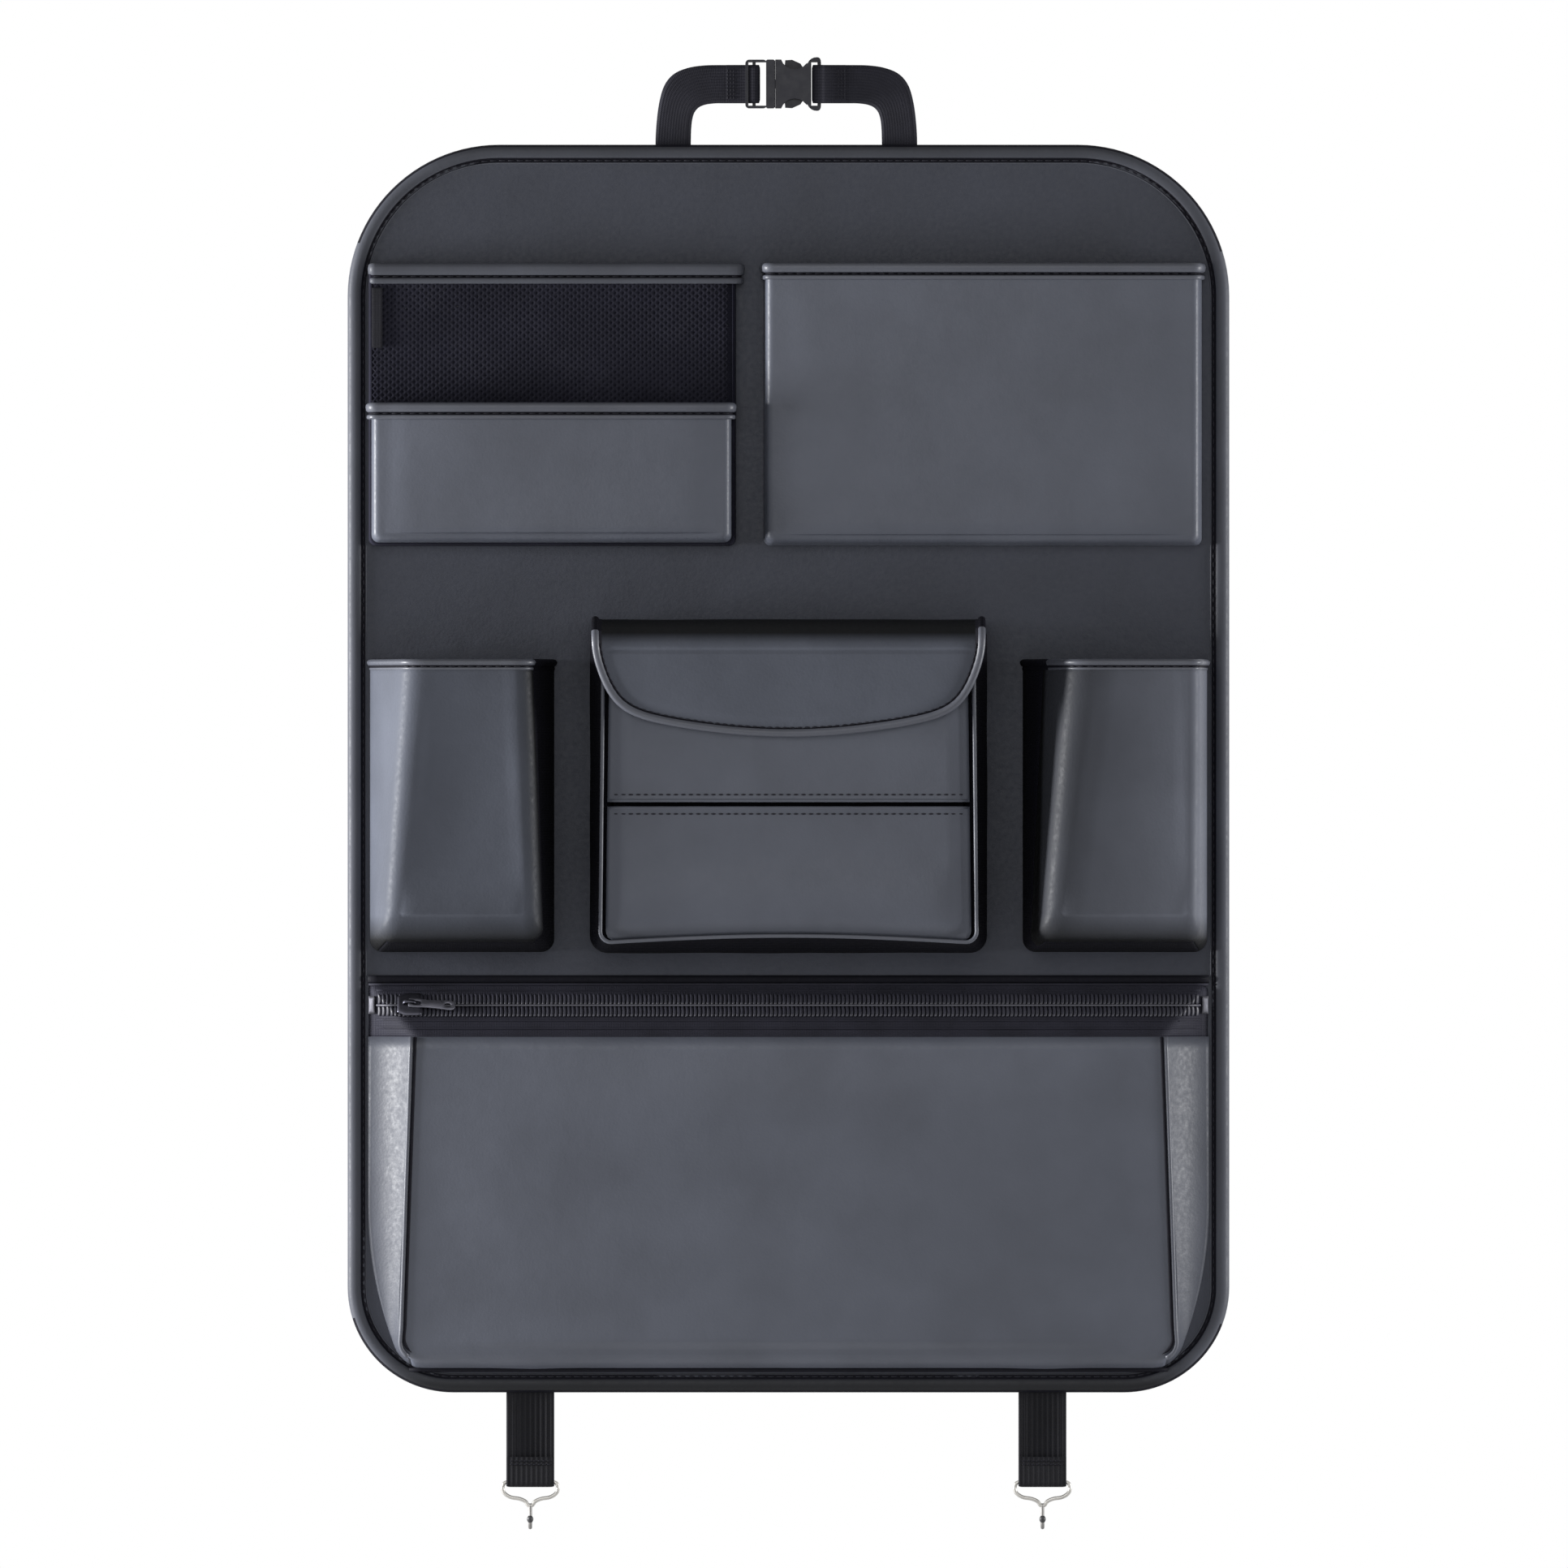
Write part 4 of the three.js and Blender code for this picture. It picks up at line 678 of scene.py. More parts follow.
def panel_sheet(inset, depth, columns=72):
    """A sheet that fills the panel's outline; depth is a function of x, z and the distance to the edge."""
    half = PANEL_HALF_HEIGHT - inset
    top, low = TOP_RADIUS - inset, BOTTOM_RADIUS - inset
    arc, straight = 12, 84
    heights = [half - top * (1 - math.cos(math.pi / 2 * i / arc)) for i in range(arc)]
    heights += spaced(half - top, -half + low, straight)[:-1]
    heights += [-half + low * (1 - math.sin(math.pi / 2 * i / arc)) for i in range(arc + 1)]
    points = []
    for z in heights:
        wide = panel_half(z, inset)
        for across in spaced(-1, 1, columns):
            x = wide * math.sin(math.pi / 2 * across) * 0.35 + wide * across * 0.65
            edge = min(wide - abs(x), half - abs(z))
            points.append(Vector((x, depth(x, z, edge), z)))
    return points, quads(len(heights), columns + 1)


def panel_ring(step=6.0):
    """Points of the panel's outline with the outward direction at each, round from the top left."""
    corners = [
        (-1, 1, TOP_RADIUS, 180, 90),
        (1, 1, TOP_RADIUS, 90, 0),
        (1, -1, BOTTOM_RADIUS, 0, -90),
        (-1, -1, BOTTOM_RADIUS, -90, -180),
    ]
    spots = []
    for side, high, radius, start, end in corners:
        middle = Vector((side * (PANEL_HALF_WIDTH - radius), 0, high * (PANEL_HALF_HEIGHT - radius)))
        for angle in spaced(start, end, 26):
            turn = math.radians(angle)
            out = Vector((math.cos(turn), 0, math.sin(turn)))
            spots.append((middle + out * radius, out))
    found = []
    for (p, out), (q, _) in zip(spots, spots[1:] + spots[:1]):
        found.append((p, out))
        gap = (q - p).length
        for k in range(1, int(gap / step) if gap > 2 * step else 0):
            found.append((p.lerp(q, k / int(gap / step)), out))
    return found


# The binding's section, as (inward from the panel's edge, depth)
EDGE_PROFILE = [
    (8.6, 0.35), (7.4, 0.05), (4.4, 0.0), (2.2, 0.1), (0.9, 0.6), (0.15, 1.7), (0.0, 3.1), (0.35, 4.6),
    (1.3, 5.8), (2.7, 6.5), (4.2, 6.6), (5.7, 6.35), (6.9, 5.8), (7.5, 5.0), (8.2, 4.8), (8.9, 4.85),
    (9.4, 5.15), (9.9, 5.1), (10.1, 4.7), (9.9, 4.5), (9.0, 4.3), (6.0, 4.3), (3.2, 3.6), (2.6, 2.4),
    (3.2, 1.4), (6.0, 1.2), (8.4, 1.0),
]


def build_panel():
    def cover_depth(x, z, edge):
        dip = 0.5 * (1 - ease(edge / 9))
        return PANEL_FACE - dip + 0.22 * ripple(x, z, 75, 3.0) + 0.06 * ripple(x, z, 22, 5.0)

    points, faces = panel_sheet(4.0, cover_depth)
    cover = piece("panel_cover", points, faces, COVER, slot="cover_leather", replaces=["front_panel"],
                  thickness=1.3)

    def lining_depth(x, z, edge):
        return 0.75 + 0.2 * ripple(x, z, 60, 9.0) - 0.25 * (1 - ease(edge / 12))

    points, faces = panel_sheet(6.0, lining_depth)
    faces = [tuple(reversed(face)) for face in faces]
    piece("back_cloth", points, faces, LINING, slot="lining_fabric", replaces=["back_lining"], thickness=0.5)

    ring = panel_ring()
    stations = [(p, out * -1, TO_FRONT) for p, out in ring]
    # The groove's faces get the near-black material, partly the thread's colour and partly painted shade; the
    # roll's outer faces along the top, the foot and the corners get it as painted shade.
    sweep("edge_roll", stations, EDGE_PROFILE, EDGE, loop=True, slot="binding_leather",
          replaces=["edge_binding"], crease=(12, 15), rim=(4, 7))
    rows = (("edge_stitches", 8.3, 5.0, 1.1), ("back_edge_stitches", 8.0, 0.0, 0.8))
    for name, inset, depth, width in rows:
        line = [p - out * inset + Vector((0, depth, 0)) for p, out in ring]
        stitches(name, [line + line[:1]], pitch=4.6, width=width)


# The flat pockets

MESH_HEM_TOP = 263.5
FLAT_LOW = 116.1
SLIM_TOP = 190.6


def flat_tray(left, right, top, low, back, front, taper, crown, edge=3.4):
    """The skin of a flat pocket whose front is smaller than its seat on the panel by the taper."""
    corner = 4

    def outline(inset, radius, depth):
        sides = (left + inset, right - inset)
        return u_line(*sides, *sides, top, low + inset, radius, depth)

    base = outline(0, corner, back)
    rim = outline(taper, corner, front)
    inner = outline(taper + edge, max(corner - edge, 1.2), front)

    def puff(_, v, spot):
        u = min(max((spot.x - inner[0].x) / (inner[-1].x - inner[0].x), 0), 1)
        across = min(ease(u * 12), ease((1 - u) * 12))
        down = ease((1 - v) * 7)
        belly = crown * (0.25 + 3 * u * (1 - u))
        return across * down * (belly + 0.25 * ripple(spot.x, spot.z, 42, left))

    return tray(base, rim, inner, puff, rounds=6)


def net_faces(left, right, top, low):
    """A net of staggered six-sided holes as points (x, z) and faces."""
    pitch, row = 4.1, 1.72
    crop_x = (pitch**2 / 4 - row**2) / pitch
    crop_side = (pitch**2 / 4 + row**2) / pitch
    cell = [(crop_x, row), (-crop_x, row), (-crop_side, 0), (-crop_x, -row), (crop_x, -row), (crop_side, 0)]
    hole = 0.4
    points, faces, seen = [], [], {}

    def spot(x, z):
        key = (round(x, 2), round(z, 2))
        if key not in seen:
            seen[key] = len(points)
            points.append((x, z))
        return seen[key]

    rows = int((top - low) / row)
    columns = int((right - left) / pitch)
    for j in range(rows):
        z = top - row * (j + 0.5)
        for i in range(columns):
            x = left + pitch * (i + 0.5 + 0.5 * (j % 2))
            if x > right - crop_side:
                continue
            outer = [spot(x + dx, z + dz) for dx, dz in cell]
            inner = [spot(x + dx * hole, z + dz * hole) for dx, dz in cell]
            for k in range(len(cell)):
                n = (k + 1) % len(cell)
                faces.append((outer[k], outer[n], inner[n], inner[k]))
    return points, faces


def build_mesh_pocket():
    left, right, front = -219.0, -27.4, 13.4
    top = MESH_HEM_TOP - HEM_FOLD
    net_top, net_low = MESH_HEM_TOP - 6, 184.0
    liner_inset, liner_top, liner_low = 1.4, 258, 180
    band = 1.6
    points, face, side, mouth = flat_tray(left, right, top, FLAT_LOW, SEAT, front, 0.6, 0.3, 1.4)

    def keeps(indices):
        return sum(points[i].z for i in indices) / 4 < net_low

    piece("mesh_pocket_lower", points, [f for f in face if keeps(f)] + side, BACKING, slot="mesh_fabric",
          weld=True, thickness=0.9)
    inner_left, inner_right = left + band, right - band

    def hung(x, z, depth):
        """A place on the slack net."""
        slack = 0.35 * ripple(x, z, 38, 2.0) * ease((x - inner_left) / 15) * ease((inner_right - x) / 15)
        return Vector((x, depth + slack, z))

    flat, faces = net_faces(inner_left, inner_right, net_top, net_low - 2)
    placed = [hung(x, z, front + 0.15) for x, z in flat]
    net = piece("mesh_pocket_net", placed, faces, NET, slot="mesh_fabric", replaces=["mesh_pocket"],
                thickness=0.35)
    net.modifiers["thickness"].use_even_offset = False

    def lined(v, u):
        x = mix(left + liner_inset, right - liner_inset, u)
        return hung(x, mix(liner_top, liner_low, v), front - 0.35)

    points, faces = grid(8, 40, lined)
    piece("mesh_pocket_liner", points, faces, BACKING, slot="mesh_fabric", thickness=0.5)
    hem("mesh_pocket_band", mouth, MESH_HEM_TOP, 10.6, "mesh_pocket_hem", wall=0.9, spread=(-1.6, 2.4),
        material=EDGE)


def build_slim_pocket():
    top, low = SLIM_TOP - HEM_FOLD, 117.8
    points, face, side, mouth = flat_tray(-217.4, -29.6, top, low, 13.7, 22.7, 1.2, 3.4)
    piece("slim_pocket_leather", points, face + side, POCKET, slot="pocket_leather", replaces=["slim_pocket"],
          weld=True, thickness=LEATHER)
    hem("slim_pocket_band", mouth, SLIM_TOP, 8.5, "slim_pocket_hem", spread=(1.0, 0.6))


def build_tag():
    """The bare cloth tag sewn in at the side of the mesh."""
    left, width, top, low = -217.0, 5.2, 250.8, 219.4

    def place(v, u):
        z = mix(top, low, v)
        return Vector((left + width * u, 14.2 + 0.5 * u + 0.15 * ripple(u * 6, z, 9), z))

    points, faces = grid(24, 8, place)
    pattern = [(p.x - left, top - p.z) for p in points]
    piece("side_tag", points, faces, TAG, flat=pattern, slot="label_fabric", replaces=["side_label"],
          thickness=0.5)


def build_tablet_pocket():
    top = MESH_HEM_TOP - HEM_FOLD
    points, face, side, mouth = flat_tray(-13.0, 215.6, top, FLAT_LOW, SEAT, 18.4, 2.0, 1.6)
    piece("tablet_pocket_leather", points, face + side, POCKET, slot="pocket_leather",
          replaces=["tablet_pocket"], weld=True, thickness=LEATHER)
    hem("tablet_pocket_band", mouth, MESH_HEM_TOP, 8.5, "tablet_pocket_hem")


# The cup pockets

CUP_TOP = 56.8
CUP_FRONT = 57.0
# The cups' bands are covered with fabric up to this distance from the middle
FABRIC_X = 133.4


def build_cup_pocket(side):
    """The left cup's wall slopes out to its rim at the outer side, and the right cup's at the inner side."""
    top = CUP_TOP - HEM_FOLD
    low, front_low = -95.7, -88.7
    if side == "left":
        seams, rim_top, rim_low, edges = (-218.4, -122.2), (-199.0, -134.0), (-211.5, -128.5), (8.5, 7.5)
    else:
        seams, rim_top, rim_low, edges = (122.2, 218.4), (147.5, 213.6), (132.0, 213.6), (9.0, 5.0)
    edge_low = 11.0
    base = u_line(*seams, *seams, top, low, 7, SEAT)
    rim = u_line(*rim_top, *rim_low, top, front_low, 7, CUP_FRONT)
    inset = u_line(rim_top[0] + edges[0], rim_top[1] - edges[1], rim_low[0] + edges[0], rim_low[1] - edges[1],
                   top, front_low + edge_low, 4, CUP_FRONT + 0.4)

    def puff(u, v, spot):
        across = min(ease(u * 6), ease((1 - u) * 6))
        down = ease((1 - v) * 8)
        bulge = 1.5 * bell(v, 0.87, 0.08)
        hollow = -1.9 * math.sin(math.pi * u) * math.sin(math.pi * min(0.12 + v * 0.95, 1))
        return across * down * (bulge + hollow + 0.3 * ripple(spot.x, spot.z, 35, 7.0))

    rounds, walls = 7, 8
    points, face, wall_faces, mouth = tray(base, rim, inset, puff, walls=walls, rounds=rounds)
    columns = len(base) - 1
    inner_side = range(U_SIDE + U_FOOT - 2, columns) if side == "left" else range(U_SIDE + 2)
    foot = range(U_SIDE + 2, columns) if side == "left" else range(U_SIDE + U_FOOT - 2)
    first_ring = rounds - 1 if side == "left" else rounds + walls // 2

    def is_gusset(number):
        ring, column = divmod(number, columns)
        if column in inner_side:
            return ring >= first_ring
        return column in foot and ring >= rounds

    skin = face + [f for n, f in enumerate(wall_faces) if not is_gusset(n)]
    fabric = [f for n, f in enumerate(wall_faces) if is_gusset(n)]
    piece(f"{side}_cup_leather", points, skin, CUPS[side], slot="pocket_leather",
          replaces=[f"{side}_cup_pocket"], weld=True, thickness=LEATHER)
    piece(f"{side}_cup_fabric", points, fabric, GUSSET, slot="gusset_fabric", replaces=[f"{side}_cup_gusset"],
          thickness=1.0)
    hem(f"{side}_cup_band", mouth, CUP_TOP, 5.4, f"{side}_cup_hem", groove_share=0.3,
        in_fabric=lambda station: abs(station[0].x) < FABRIC_X, lip=False)


# The tissue pocket

FLAP_DEPTH = 55.3
FLAP_CROWN = 77.6
FLAP_ROOT = 58.0
FLAP_SHOULDER = 14.0
FLAP_HALF = 102.5
# The middle of the tissue pocket's foot lies this far above its corners
FOOT_RISE = 3.6


def bow(x, half):
    """The share of the foot's rise at x: nothing at its corners, all of it in the middle."""
    return math.sin(math.pi / 2 * max(1 - abs(x) / half, 0))


def bowed(outline, middle, foot):
    """The outline with its foot bowed up between its corners."""
    reach = 26
    moved = []
    for p in outline:
        near_foot = ease((foot + reach - p.z) / reach)
        moved.append(p + Vector((0, 0, FOOT_RISE * bow(p.x, middle) * near_foot)))
    return moved


def build_tissue_pocket():
    half, low, top = 103.6, -96.2, 70.0
    front_top, front_low_half, front_low = 96.2, 97.9, -90.6

    def front_line(out, below, depth):
        wide, wide_low = front_top + out, front_low_half + out
        line = u_line(-wide, wide, -wide_low, wide_low, top, front_low - below, 6, depth)
        return bowed(line, front_low_half, front_low)

    base = u_line(-half, half, -half, half, top, low, 9, SEAT)
    rim = front_line(0.6, 0.8, 48.8)
    steps, middle_z = 10, -10
    points = []
    for t in spaced(0, 1, steps):
        for i, (a, b) in enumerate(zip(rim, base)):
            p = a.lerp(b, t)
            inward = Vector((-p.x, 0, middle_z - p.z)).normalized()
            points.append(p + inward * (0.9 * math.sin(math.pi * t) + 0.35 * ripple(i * 4.0, p.y, 24, 4.0)))
    piece("tissue_fabric", points, quads(steps + 1, len(rim)), GUSSET, slot="gusset_fabric",
          replaces=["tissue_gusset"], thickness=1.2)
    inner = bowed(u_line(-91.0, 91.0, -92.4, 92.4, top, -84.4, 4, 45.4), 92.4, -84.4)
    flange = [p.copy() for p in inner] + [p - Vector((0, 1.4, 0)) for p in rim]
    piece("tissue_fabric_edge", flange, quads(2, len(rim)), GUSSET, slot="gusset_fabric", thickness=0.8)
    roll = front_line(0, 0, 50.0)
    tube("tissue_roll", roll, 1.05, BINDING, slot="binding_leather", replaces=["tissue_piping"])

    slit, slit_half = -18.6, 93.6
    half_top, half_low, panel_low = 93.0, 95.2, -89.4
    upper_seed, lower_seed = 11.0, 17.0

    def foot_line(x):
        return panel_low + FOOT_RISE * bow(x, half_low)

    def panel_depth(x, z, edge, seed):
        """The front's swell: round at its sides and foot, with a lighter swell above the foot."""
        depth = 48.9 + 2.1 * ease(edge / 11) + 0.35 * ripple(x, z, 40, seed) * ease(edge / 20)
        depth += 0.4 * ease(1 - abs(z - slit) / 6) * ease(edge / 6)
        over = z - foot_line(x)
        depth += 0.9 * ease(1 - abs(over - 20) / 22) * ease(edge / 20)
        depth -= 3.0 * (1 - ease(over / 13)) ** 2
        return max(depth, 48.4)

    def panel(name, high, low_line, node, seed):
        corner, pinch = 6, 3.5

        def place(v, u):
            across = mix(-1, 1, u)
            across = 0.75 * across + 0.25 * math.sin(math.pi / 2 * across)
            wide = mix(half_top, half_low, (top - mix(high, low_line(0), v)) / (top - panel_low))
            x = wide * across
            z_low = low_line(x)
            z = mix(high, z_low, v)
            if low_line == foot_line:
                over = max(0.0, z_low + corner - z) / corner
                x *= 1 - pinch / wide * (1 - math.sqrt(max(1 - over * over, 0)))
            edge = wide - abs(wide * across)
            return Vector((x, panel_depth(x, z, edge, seed), z))

        points, faces = grid(44, 72, place)
        piece(name, points, faces, POCKET, slot="pocket_leather", replaces=[node], thickness=LEATHER)

    panel("tissue_upper_leather", top, lambda x: slit + 1.2, "tissue_front_upper", upper_seed)
    panel("tissue_lower_leather", slit - 1.2, foot_line, "tissue_front_lower", lower_seed)

    rows = []
    for z, seed in ((-13.6, upper_seed), (-23.6, lower_seed)):
        spots = [(x, panel_depth(x, z, slit_half - abs(x), seed) - 0.05) for x in spaced(-91.5, 91.5, 90)]
        rows.append([Vector((x, depth, z)) for x, depth in spots])
    stitches("tissue_slit_stitches", rows, pitch=3.9, length=2.7, width=1.1)
    for name, z in (("tissue_slit_lip_upper", slit + 1.9), ("tissue_slit_lip_lower", slit - 1.9)):
        path = []
        for i, x in enumerate(spaced(-93.0, 93.0, 60)):
            depth = panel_depth(x, z, slit_half - abs(x), upper_seed) - 0.4
            path.append(Vector((x, depth, z + 0.1 * ripple(i * 5, 0, 20))))
        tube(name, path, 0.85, POCKET, sides=8, slot="pocket_leather")
    # A black sheet behind the slit: painted shade for the dark inside of the pocket.
    shade = [Vector((x, 46.6, z)) for z in (-8, -18.4, -30) for x in spaced(-91, 91, 20)]
    piece("tissue_slit_shade_sheet", shade, quads(3, 21), GUSSET, slot="gusset_fabric", thickness=0.6)


# The flap's fold over the crown, from its sewn edge on: up, round the small bend, level, round the shoulder

FLAP_BEND = 3.0
FLAP_BACK = 6.4
FLAP_RISE = FLAP_CROWN - FLAP_ROOT - FLAP_BEND
FLAP_LEVEL = FLAP_DEPTH - FLAP_SHOULDER - FLAP_BACK - FLAP_BEND
FLAP_TURN = FLAP_RISE + math.pi / 2 * (FLAP_BEND + FLAP_SHOULDER) + FLAP_LEVEL


def fold(x, s, lift=0.0):
    """A place on the flap's flat pattern, s millimetres from its sewn edge, folded into place."""
    if s < FLAP_RISE:
        return Vector((x, FLAP_BACK + lift, FLAP_ROOT + s))
    s -= FLAP_RISE
    if s < math.pi / 2 * FLAP_BEND:
        turn = s / FLAP_BEND
        reach = FLAP_BEND - lift
        middle, high = FLAP_BACK + FLAP_BEND, FLAP_CROWN - FLAP_BEND
        return Vector((x, middle - reach * math.cos(turn), high + reach * math.sin(turn)))
    s -= math.pi / 2 * FLAP_BEND
    if s < FLAP_LEVEL:
        return Vector((x, FLAP_BACK + FLAP_BEND + s, FLAP_CROWN + lift))
    s -= FLAP_LEVEL
    if s < math.pi / 2 * FLAP_SHOULDER:
        turn = s / FLAP_SHOULDER
        reach = FLAP_SHOULDER + lift
        middle, high = FLAP_DEPTH - FLAP_SHOULDER, FLAP_CROWN - FLAP_SHOULDER
        return Vector((x, middle + reach * math.sin(turn), high + reach * math.cos(turn)))
    s -= math.pi / 2 * FLAP_SHOULDER
    return Vector((x, FLAP_DEPTH + lift, FLAP_CROWN - FLAP_SHOULDER - s))


def flap_pattern_z(z):
    """The place along the flap's flat pattern of a height on its front."""
    return FLAP_TURN + (FLAP_CROWN - FLAP_SHOULDER) - z


def flap_edge(inset):
    """The flap's cut edge on the flat pattern, from the upper left corner round to the upper right."""
    start = 26.0
    side = [(FLAP_HALF, 70.0), (102.3, 64.0), (101.5, 58.5), (99.6, 51.6), (95.6, 42.0), (90.6, 34.6),
            (84.6, 29.6), (77.0, 26.1), (66.0, 23.2), (50.0, 20.4), (25.0, 17.5)]
    left = [Vector((-x, flap_pattern_z(z), 0)) for x, z in side]
    right = [Vector((-p.x, p.y, 0)) for p in reversed(left)]
    edge = spline(left + [Vector((0, flap_pattern_z(16.5), 0))] + right, steps=5)
    first = [Vector((-FLAP_HALF, s, 0)) for s in spaced(start, edge[0].y, 24)[:-1]]
    last = [Vector((FLAP_HALF, p.y, 0)) for p in reversed(first)]
    line = first + edge + last
    moved = []
    for i, p in enumerate(line):
        along = heading(line, i)
        moved.append(p + Vector((along.y, -along.x, 0)) * inset)
    return moved


# The flap piping's section, as (inward from the flap's edge, out of its face)
FLAP_PROFILE = [
    (2.3, 0.8), (2.0, 1.6), (1.0, 2.2), (-0.1, 2.3), (-1.1, 1.8), (-1.6, 0.9), (-3.0, 0.75), (-3.2, 0.3),
    (-2.3, -0.1), (-2.0, -1.2), (-1.2, -1.8), (0.2, -1.9), (1.8, -1.6), (2.3, -0.9),
]


def build_flap():
    edge = flap_edge(2.4)
    count = len(edge)
    straight, columns = 12, 60
    seam_half = 95

    def place(spot):
        """A place on the flap, with its swell, the dent at its seam and the ridge above that."""
        swell = ease(min((spot - p).length for p in edge) / 9)
        belly = 0.9 * swell * ease((spot.y - FLAP_TURN + 8) / 12)
        belly += 0.5 * swell * ripple(spot.x, spot.y, 45, 6.0)
        ends = ease((seam_half - abs(spot.x)) / 3)
        dent = 0.7 * bell(spot.y, flap_pattern_z(61.4), 0.8) * ends
        raised = 0.45 * bell(spot.y, flap_pattern_z(62.9), 0.9) * ends
        return fold(spot.x, spot.y, belly - dent + raised)

    rows = []
    for s in spaced(0.0, edge[0].y, straight)[:-1]:
        rows.append((Vector((edge[0].x, s, 0)), Vector((-edge[0].x, s, 0))))
    rows += [(edge[r], edge[count - 1 - r]) for r in range(count // 2 + 1)]
    flat = [a.lerp(b, u) for a, b in rows for u in spaced(0, 1, columns)]
    flap = piece("tissue_flap_leather", [place(spot) for spot in flat], quads(len(rows), columns + 1), FLAP,
                 flat=[(spot.x, spot.y) for spot in flat], slot="pocket_leather", replaces=["tissue_flap"],
                 thickness=LEATHER)

    line = flap_edge(2.3)
    stations = []
    for i, p in enumerate(line):
        along = heading(line, i)
        out = Vector((along.y, -along.x, 0))
        here = fold(p.x, p.y, -0.6)
        side = fold(p.x - out.x, p.y - out.y, -0.6) - fold(p.x + out.x, p.y + out.y, -0.6)
        up = fold(p.x, p.y, 0.4) - here
        stations.append((here, side.normalized(), up.normalized()))
    # Painted shade: the roll's stations on the crown get the black fabric material, for the shade over the
    # top of the flap; the groove's faces get the near-black material, partly the thread's colour and partly
    # painted shade.
    sweep("tissue_flap_roll", stations, FLAP_PROFILE, BINDING, slot="binding_leather",
          replaces=["flap_piping"], crease=(5, 6), dark=lambda station: station[0].z > 72.0)
    stitched = [fold(p.x, p.y, 0.35) for p in flap_edge(4.7)]
    shown = [p for p in stitched if p.z < 66]
    stitches("tissue_flap_stitches", [shown], pitch=3.9, length=2.8, width=0.9)
    for name, depth, node in (("fastener_loop", 51.9, "fastener_loop_patch"),
                              ("fastener_hook", 53.2, "fastener_hook_patch")):
        def patch(v, u):
            lift = 0.1 * ripple(u * 60, v * 24, 4, depth)
            return Vector((mix(-30, 30, u), depth + lift, mix(43, 29, v)))

        points, faces = grid(8, 20, patch)
        piece(name, points, faces, FASTENER, slot="lining_fabric", replaces=[node], thickness=0.8)


# The zipped pocket

# Heights: the sloped strip's top, the zip on it, the front's upper and lower edge and its seat on the panel
STRIP_TOP, ZIP_Z, BROW_Z, CHIN_Z, SEAT_Z = -111.0, -123.3, -139.8, -308.0, -313.6
BROW_DEPTH, CHIN_DEPTH = 25.4, 13.4
SEAM_TOP, SEAM_LOW, ZIP_HALF = 195.3, 201.6, 219.8
SIDE_SAG = 0.6
# The elastics' middles
ELASTIC_X = {"left": -134.7, "right": 132.5}
SLOPE = math.atan2(BROW_DEPTH - SEAT, STRIP_TOP - BROW_Z)


def on_slope(x, z, lift=0.0):
    """A place on the sloped strip that carries the zip."""
    depth = SEAT + (STRIP_TOP - z) * math.tan(SLOPE)
    return Vector((x, depth + lift * math.cos(SLOPE), z + lift * math.sin(SLOPE)))


def slope_half(z):
    """Half the width of the strip's flat part at a height."""
    return mix(ZIP_HALF, SEAM_TOP, (STRIP_TOP - z) / (STRIP_TOP - BROW_Z))


def on_strip(x, z, lift=0.0):
    """A place on the zip's strip, which turns back to the panel at both ends."""
    half = slope_half(z)
    if abs(x) <= half:
        return on_slope(x, z, lift)
    sign = math.copysign(1, x)
    share = (abs(x) - half) / max(ZIP_HALF - half, 0.01)
    high = on_slope(half, z).y
    bend = mix(high, SEAT, 0.5 + SIDE_SAG / 2)
    depth = high * (1 - share) ** 2 + bend * 2 * share * (1 - share) + SEAT * share**2
    out_x, out_depth = 0.632, 0.775
    return Vector((x + sign * lift * out_x * (1 - share), depth + lift * out_depth, z))


def along_strip(half, z, lift, count):
    """A line along the zip's strip, as far as half to either side."""
    return [on_strip(x, z, lift) for x in spaced(-half, half, count)]


def zip_front_depth(z):
    """The depth of the front's outline at a height."""
    return mix(BROW_DEPTH, CHIN_DEPTH, (BROW_Z - z) / (BROW_Z - CHIN_Z))


